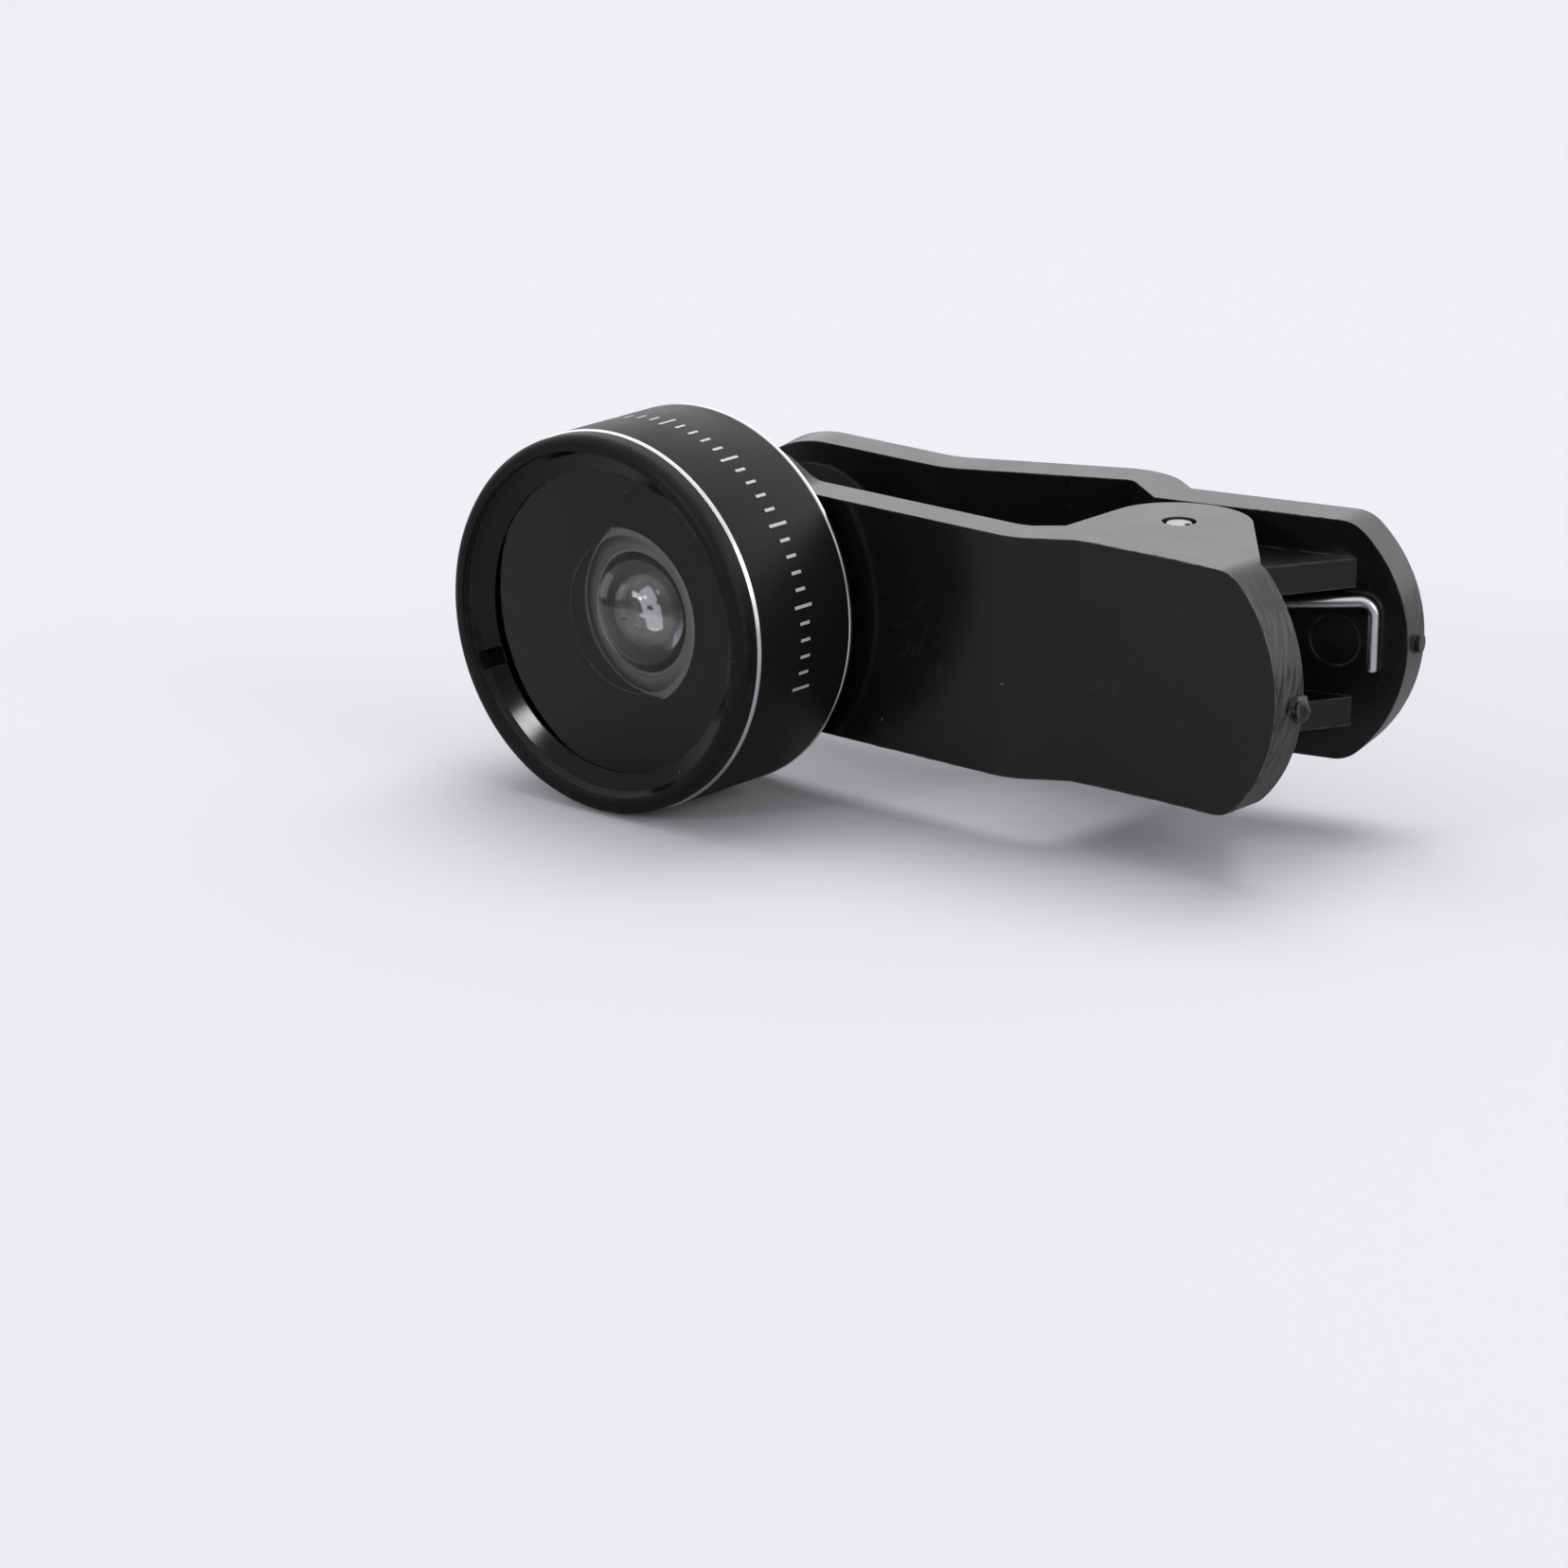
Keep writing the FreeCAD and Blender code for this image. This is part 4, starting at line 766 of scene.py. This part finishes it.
# %% Bright rings
BRIGHT_RINGS = {
    "front_bright_ring": [(12.84, 13.72, 0), (13.005, 13.715, 0.01),
                          (12.90, 13.99, 0.01), (12.80, 14.0, 0)],
    "rear_bright_ring": [(12.86, 4.37, 0), (13.02, 4.37, 0.03),
                         (13.02, 4.56, 0.03), (12.90, 4.67, 0)],
}
for name, outline in BRIGHT_RINGS.items():
    points, faces = ring_points(soften(outline), SEGMENTS)
    piece(name, points, faces, bright_cut, "lens")

# %% [markdown]
# The barrel carries a plain row of white index ticks. They show how far the lens is
# screwed round. Each is a thin patch that follows the barrel's curve, a hundredth of a
# millimetre above it, and every fifth one is longer.

# %% Index ticks
TICK_COUNT, FIRST_TICK, TICK_STEP, LONG_TICK_EVERY = 25, -14, 5, 5
LONG_TICK, SHORT_TICK, TICK_HALF_WIDTH = 1.7, 0.95, 0.11
TICK_LIFT, TICK_DEPTH, TICK_FACETS = 0.012, 9.2, 3
TICK_RADIUS = BARREL + TICK_LIFT

points, faces = [], []
for number in range(TICK_COUNT):
    middle = math.radians(FIRST_TICK + TICK_STEP * number)
    length = LONG_TICK if number % LONG_TICK_EVERY == 0 else SHORT_TICK
    half = TICK_HALF_WIDTH / BARREL
    first = len(points)
    for step in range(TICK_FACETS + 1):
        angle = middle - half + 2 * half * step / TICK_FACETS
        for depth in (TICK_DEPTH - length / 2, TICK_DEPTH + length / 2):
            points.append((TICK_RADIUS * math.cos(angle), -depth, TICK_RADIUS * math.sin(angle)))
    for step in range(TICK_FACETS):
        spot = first + 2 * step
        faces.append((spot, spot + 1, spot + 3, spot + 2))
piece("index_ticks", points, faces, print_white, "lens")

# %% [markdown]
# ## What the mould left behind
#
# A moulded part is broken off its sprue, and a torn stub stays on each handle's tip.
# It is a small ball of points, pushed in and out by seeded random amounts, with flat
# facets that glint like broken plastic.

# %% Torn stubs
STUB_BUMPS, BUMP_HEIGHTS, BUMP_SHARPNESS, STUB_GRIT = 16, (-0.36, 0.30), (3.0, 9.0), 0.05


def torn_stub(name, middle, reach, seed, body):
    """A rough little lump with facets, reach giving its half sizes in millimetres."""
    chance = random.Random(seed)
    form = bmesh.new()
    bmesh.ops.create_icosphere(form, subdivisions=3, radius=1.0)
    bumps = []
    for _ in range(STUB_BUMPS):
        way = Vector([chance.uniform(-1, 1) for _ in range(3)]).normalized()
        bumps.append((way, chance.uniform(*BUMP_HEIGHTS), chance.uniform(*BUMP_SHARPNESS)))
    for point in form.verts:
        size = 1.0 + chance.uniform(-STUB_GRIT, STUB_GRIT)
        for way, height, sharpness in bumps:
            size += height * math.exp(-sharpness * (point.co.normalized() - way).length_squared)
        arm = [size * point.co[axis] * reach[axis] for axis in range(3)]
        point.co = Vector(middle) + Vector(arm)
    points = [tuple(point.co) for point in form.verts]
    faces = [tuple(corner.index for corner in face.verts) for face in form.faces]
    form.free()
    return piece(name, points, faces, gate_plastic, body, smooth_angle=16.0)


torn_stub("front_gate_stub", (45.12, 1.42, -0.5), (0.62, 0.80, 0.86), 5, "clip_front")
torn_stub("rear_gate_stub", (43.24, 17.64, 0.0), (0.30, 0.50, 0.62), 8, "clip_rear")

# %% [markdown]
# Where the two halves of the mould met, a thin line of flash stands up in places
# along the edges. Each burr is a short spindle that lies on the edge. Its ends are
# found on the CAD surface, so it never hangs in the air. A cluster of taller ones
# makes the nick at the handle's lower corner.

# %% Flash along the edges
BURR_SIDES, SHORTEST_BURR, LEAST_LENGTH = 6, 0.25, 0.1
BURR_SHAPE = ((0.0, 0.05), (0.2, 0.7), (0.45, 1.0), (0.7, 0.6), (1.0, 0.05))
BURR_HEIGHTS, BURR_UNEVENNESS = (0.4, 1.0), (0.7, 1.2)


def tube_faces(first, rings, sides):
    """Faces of a closed tube whose points lie ring after ring, from the point first on."""
    faces = []
    for ring in range(rings - 1):
        for step in range(sides):
            here = first + ring * sides + step
            beside = first + ring * sides + (step + 1) % sides
            faces.append((here, beside, beside + sides, here + sides))
    last = first + (rings - 1) * sides
    faces.append(tuple(range(first, first + sides))[::-1])
    faces.append(tuple(range(last, last + sides)))
    return faces


def burrs(name, node, body, start, end, count, seed, longest, tallest):
    """Small slivers along the line from start to end, in millimetres, on the node's surface."""
    chance = random.Random(seed)
    start, line = Vector(start), Vector(end) - Vector(start)
    points, faces = [], []
    for _ in range(count):
        share = chance.random()
        length = chance.uniform(SHORTEST_BURR, longest)
        height = chance.uniform(*BURR_HEIGHTS) * tallest
        ends = []
        for side in (-0.5, 0.5):
            wanted = (start + line * share + line.normalized() * length * side) * MM
            ends.append(nodes[node].closest_point_on_mesh(wanted)[1] / MM)
        along = ends[1] - ends[0]
        if along.length < LEAST_LENGTH:
            continue
        across = along.normalized().orthogonal()
        other = along.normalized().cross(across)
        faces += tube_faces(len(points), len(BURR_SHAPE), BURR_SIDES)
        for share_along, share_of_height in BURR_SHAPE:
            size = share_of_height * height * chance.uniform(*BURR_UNEVENNESS)
            for step in range(BURR_SIDES):
                angle = 2 * math.pi * step / BURR_SIDES
                arm = across * math.cos(angle) + other * math.sin(angle)
                points.append(ends[0] + along * share_along + arm * size)
    return piece(name, points, faces, gate_plastic, body, smooth_angle=50.0)


burrs("front_edge_burrs", "front_lever", "clip_front", (29.5, -0.9, 8.2), (42.0, -0.9, 8.2),
      count=16, seed=11, longest=1.3, tallest=0.055)
burrs("lower_edge_burrs", "front_lever", "clip_front", (14.0, -3.15, -8.2), (24.0, -3.15, -8.2),
      count=6, seed=12, longest=1.6, tallest=0.03)
burrs("handle_edge_burrs", "front_lever", "clip_front", (31.0, -0.6, -8.2), (42.0, -0.9, -8.2),
      count=6, seed=13, longest=1.6, tallest=0.03)
burrs("corner_nick", "front_lever", "clip_front", (41.7, -1.0, -8.2), (42.7, -1.0, -7.9),
      count=4, seed=15, longest=0.9, tallest=0.11)
burrs("rear_edge_burrs", "rear_lever", "clip_rear", (33.0, 13.0, 8.2), (40.5, 15.0, 8.2),
      count=16, seed=14, longest=0.7, tallest=0.045)

# %% [markdown]
# ## The torsion spring
#
# One steel wire makes the whole spring: a cross bar behind each handle, a bend, a
# leg, and four turns round the hinge pin. The CAD spring is stiff. Here it comes in
# three pieces: the front leg rides on the front lever, the rear leg on the rear lever,
# and the coil, which rides on neither, turns smoothly from one to the other along its
# height. The wire is a tube that follows a list of points.

# %% Wire helper
WIRE_SIDES, END_LENGTH = 20, 0.6
END_SHAPE = ((0.05, 0.45), (0.35, 0.8), (0.7, 0.96))


def wire(name, route, radius, body, round_tip=True):
    """A round wire along the route's points, in millimetres, perhaps with a rounded tip."""
    route = [Vector(point) for point in route]
    stations = [(point, radius) for point in route]
    if round_tip:
        back = (route[-2] - route[-1]).normalized() * radius * END_LENGTH
        tip = [(route[-1] + back * reach, radius * share) for reach, share in END_SHAPE]
        stations = stations[:-1] + [(route[-1] + back, radius)] + tip[::-1]
    points = []
    side = None
    for spot, (middle, size) in enumerate(stations):
        before = stations[max(spot - 1, 0)][0]
        after = stations[min(spot + 1, len(stations) - 1)][0]
        ahead = (after - before).normalized()
        side = ahead.orthogonal() if side is None else side
        side = (side - ahead * side.dot(ahead)).normalized()
        other = ahead.cross(side)
        for step in range(WIRE_SIDES):
            angle = 2 * math.pi * step / WIRE_SIDES
            points.append(middle + (side * math.cos(angle) + other * math.sin(angle)) * size)
    faces = tube_faces(0, len(stations), WIRE_SIDES)
    return piece(name, points, faces, spring_finish, body, smooth_angle=60.0)


# %% [markdown]
# The coil's two ends leave the circle along a tangent and become the legs. Each leg
# ends in a bend up or down, and a cross bar that presses on its handle from inside.
# The front leg is a little shorter, so that the two bars pass each other when the
# handles are squeezed together.

# %% Spring
PIN = Vector((31.0, 7.4, 0.0))
COIL_RADIUS, WIRE_RADIUS, HALF_HEIGHT, TURNS, COIL_STEPS = 2.6, 0.4, 1.8, 4, 260
LEG_HEIGHT, BAR_REACH, BEND, BEND_STEPS = 3.08, 1.8, 0.9, 8
FRONT_REACH, REAR_REACH = 11.5, 12.1
FRONT_DROP, REAR_RISE, TILT = 4.544, 4.63, math.radians(15.2)
LEG_SHARES, BAR_SHARES = (0.0, 0.1, 0.5, 0.9), (0.3, 0.7)


def leg_slope(reach, height):
    """Slope of a leg that leaves the coil along its tangent and ends at this height."""
    return math.acos(COIL_RADIUS / math.hypot(reach, height)) - math.atan2(reach, height)


START = -math.pi / 2 - leg_slope(FRONT_REACH, FRONT_DROP)
FINISH = math.pi / 2 + leg_slope(REAR_REACH, REAR_RISE) + TILT
SWEEP = (START - FINISH) % (2 * math.pi) + 2 * math.pi * TURNS


def leg_route(start, corner, tip):
    """Straight leg, round bend and cross bar."""
    start, corner, tip = Vector(start), Vector(corner), Vector(tip)
    back, bar = (start - corner).normalized(), (tip - corner).normalized()
    half = back.angle(bar) / 2
    reach = BEND / math.tan(half)
    first, last = corner + back * reach, corner + bar * reach
    centre = corner + (back + bar).normalized() * (BEND / math.sin(half))
    arc = []
    for step in range(BEND_STEPS + 1):
        arm = (first - centre).lerp(last - centre, step / BEND_STEPS).normalized() * BEND
        arc.append(centre + arm)
    leg = [start.lerp(first, share) for share in LEG_SHARES]
    cross_bar = [last.lerp(tip, share) for share in BAR_SHARES] + [tip]
    return [PIN + point for point in leg + arc + cross_bar]


low = (COIL_RADIUS * math.cos(START), COIL_RADIUS * math.sin(START), -HALF_HEIGHT)
high = (COIL_RADIUS * math.cos(FINISH), COIL_RADIUS * math.sin(FINISH), HALF_HEIGHT)
low_corner = (FRONT_REACH, -FRONT_DROP, -LEG_HEIGHT)
high_corner = (REAR_REACH * math.cos(TILT) - REAR_RISE * math.sin(TILT),
               REAR_REACH * math.sin(TILT) + REAR_RISE * math.cos(TILT), LEG_HEIGHT)
front_leg = wire("spring_front_leg", leg_route(low, low_corner, (*low_corner[:2], BAR_REACH)),
                 WIRE_RADIUS, "clip_front")
rear_leg = wire("spring_rear_leg", leg_route(high, high_corner, (*high_corner[:2], -BAR_REACH)),
                WIRE_RADIUS, "clip_rear")
turns = []
for step in range(COIL_STEPS + 1):
    share = step / COIL_STEPS
    angle = START - SWEEP * share
    turns.append(PIN + Vector((COIL_RADIUS * math.cos(angle), COIL_RADIUS * math.sin(angle),
                               -HALF_HEIGHT + 2 * HALF_HEIGHT * share)))
coil = wire("spring_coil", turns, WIRE_RADIUS, None, round_tip=False)
for part in (coil, front_leg, rear_leg):
    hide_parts("torsion_spring")
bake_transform(coil)

# %% [markdown]
# ## Floor and light
#
# The floor is one wide pale sheet just under the barrel. For the camera, and through
# glass, it is pale lavender white. A surface that mirrors it or is lit by it gets a
# good deal less from it, so that the black faces stay black. Its sizes are in metres.

# %% Floor
FLOOR_COLOUR, ROOM_COLOUR = (0.90, 0.885, 0.93), (0.30, 0.295, 0.31)
MIRRORED_SHARE, FLOOR_ROUGHNESS = 0.24, 0.9
FLOOR_REACH, FLOOR_CLEARANCE = 1.2, 0.00002
floor_height = min(corner[2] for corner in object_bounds()) - FLOOR_CLEARANCE


def seen_directly(tree, mirrored):
    """1 for camera rays and rays through glass, and the given share for mirrored rays."""
    path = add(tree, "ShaderNodeLightPath").outputs
    direct = calc(tree, "MAXIMUM", path["Is Camera Ray"], path["Is Transmission Ray"])
    return calc(tree, "MAXIMUM", direct, calc(tree, "MULTIPLY", path["Is Glossy Ray"], mirrored))


floor_material = bpy.data.materials.new("pale_floor")
floor_material.use_nodes = True
tree = floor_material.node_tree
shader = tree.nodes["Principled BSDF"]
shader.inputs["Roughness"].default_value = FLOOR_ROUGHNESS
shader.inputs["Specular IOR Level"].default_value = 0.0
floor_colour = mixed(tree, "RGBA", seen_directly(tree, MIRRORED_SHARE),
                     (*ROOM_COLOUR, 1.0), (*FLOOR_COLOUR, 1.0))
fill(tree, shader.inputs["Base Color"], floor_colour)
floor_mesh = bpy.data.meshes.new("floor")
ways = ((-1, -1), (1, -1), (1, 1), (-1, 1))
floor_mesh.from_pydata([(x * FLOOR_REACH, y * FLOOR_REACH, floor_height) for x, y in ways],
                       [], [(0, 1, 2, 3)])
floor_mesh.materials.append(floor_material)
floor = bpy.data.objects.new("floor", floor_mesh)
scene.collection.objects.link(floor)
floor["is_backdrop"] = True
print("floor at %.2f mm" % (floor_height / MM))

# %% [markdown]
# The world is pale for the camera. What surfaces mirror from it runs from bright
# behind the object, and half as bright above it, to dim in front, as in a room with a
# lit backdrop. What it adds as soft light from all around is an even grey.

# %% World
BACKDROP_COLOUR, SOFT_COLOUR = (0.86, 0.85, 0.89, 1.0), (0.42, 0.42, 0.43, 1.0)
DIM_SIDE, LIT_SIDE = (0.24, 0.24, 0.25, 1.0), (1.35, 1.33, 1.38, 1.0)
BEHIND_RANGE, ABOVE_RANGE, SHARE_ABOVE = (-0.55, 0.75), (0.1, 0.9), 0.5

world = bpy.data.worlds.new("studio")
scene.world = world
world.use_nodes = True
tree = world.node_tree
background = tree.nodes["Background"]
direction = add(tree, "ShaderNodeTexCoord").outputs["Generated"]
split = add(tree, "ShaderNodeSeparateXYZ", Vector=direction).outputs
behind = spread(tree, split[1], *BEHIND_RANGE)
above = spread(tree, split[2], *ABOVE_RANGE)
lit = calc(tree, "MAXIMUM", behind, calc(tree, "MULTIPLY", above, SHARE_ABOVE))
path = add(tree, "ShaderNodeLightPath").outputs
mirrored_room = mixed(tree, "RGBA", lit, DIM_SIDE, LIT_SIDE)
unseen = mixed(tree, "RGBA", path["Is Diffuse Ray"], mirrored_room, SOFT_COLOUR)
fill(tree, background.inputs["Color"],
     mixed(tree, "RGBA", path["Is Camera Ray"], unseen, BACKDROP_COLOUR))
background.inputs["Strength"].default_value = 1.0
print("world:", world.name)

# %% [markdown]
# Four soft boxes light the object: a large one above and behind, a broad one at the
# left, a small one at the right for the wire and the handles' ends, and a small one in
# front, which makes the bright spot on the ring around the glass. Only the two small
# ones show in what the surfaces mirror. The object is small, so a few watts are enough.

# %% Lamps
LAMPS = {
    # name: (place in metres, side in metres, watts, shows in mirrors)
    "top_box": ((-0.10, 0.25, 0.80), 0.7, 3.55, False),
    "left_box": ((-0.85, -0.35, 0.35), 0.5, 1.2, False),
    "right_box": ((0.50, -0.02, 0.26), 0.22, 0.34, True),
    "front_box": ((-0.075, -0.75, 0.29), 0.10, 0.8, True),
}
for name, (spot, size, power, mirrored) in LAMPS.items():
    lamp_data = bpy.data.lights.new(name, "AREA")
    lamp_data.size = size
    lamp_data.energy = power
    lamp = bpy.data.objects.new(name, lamp_data)
    scene.collection.objects.link(lamp)
    lamp.location = spot
    lamp.visible_glossy = mirrored
    lamp.rotation_euler = (-Vector(spot)).to_track_quat("-Z", "Y").to_euler()
scene.view_settings.view_transform = "Standard"
print("lamps:", sorted(LAMPS))
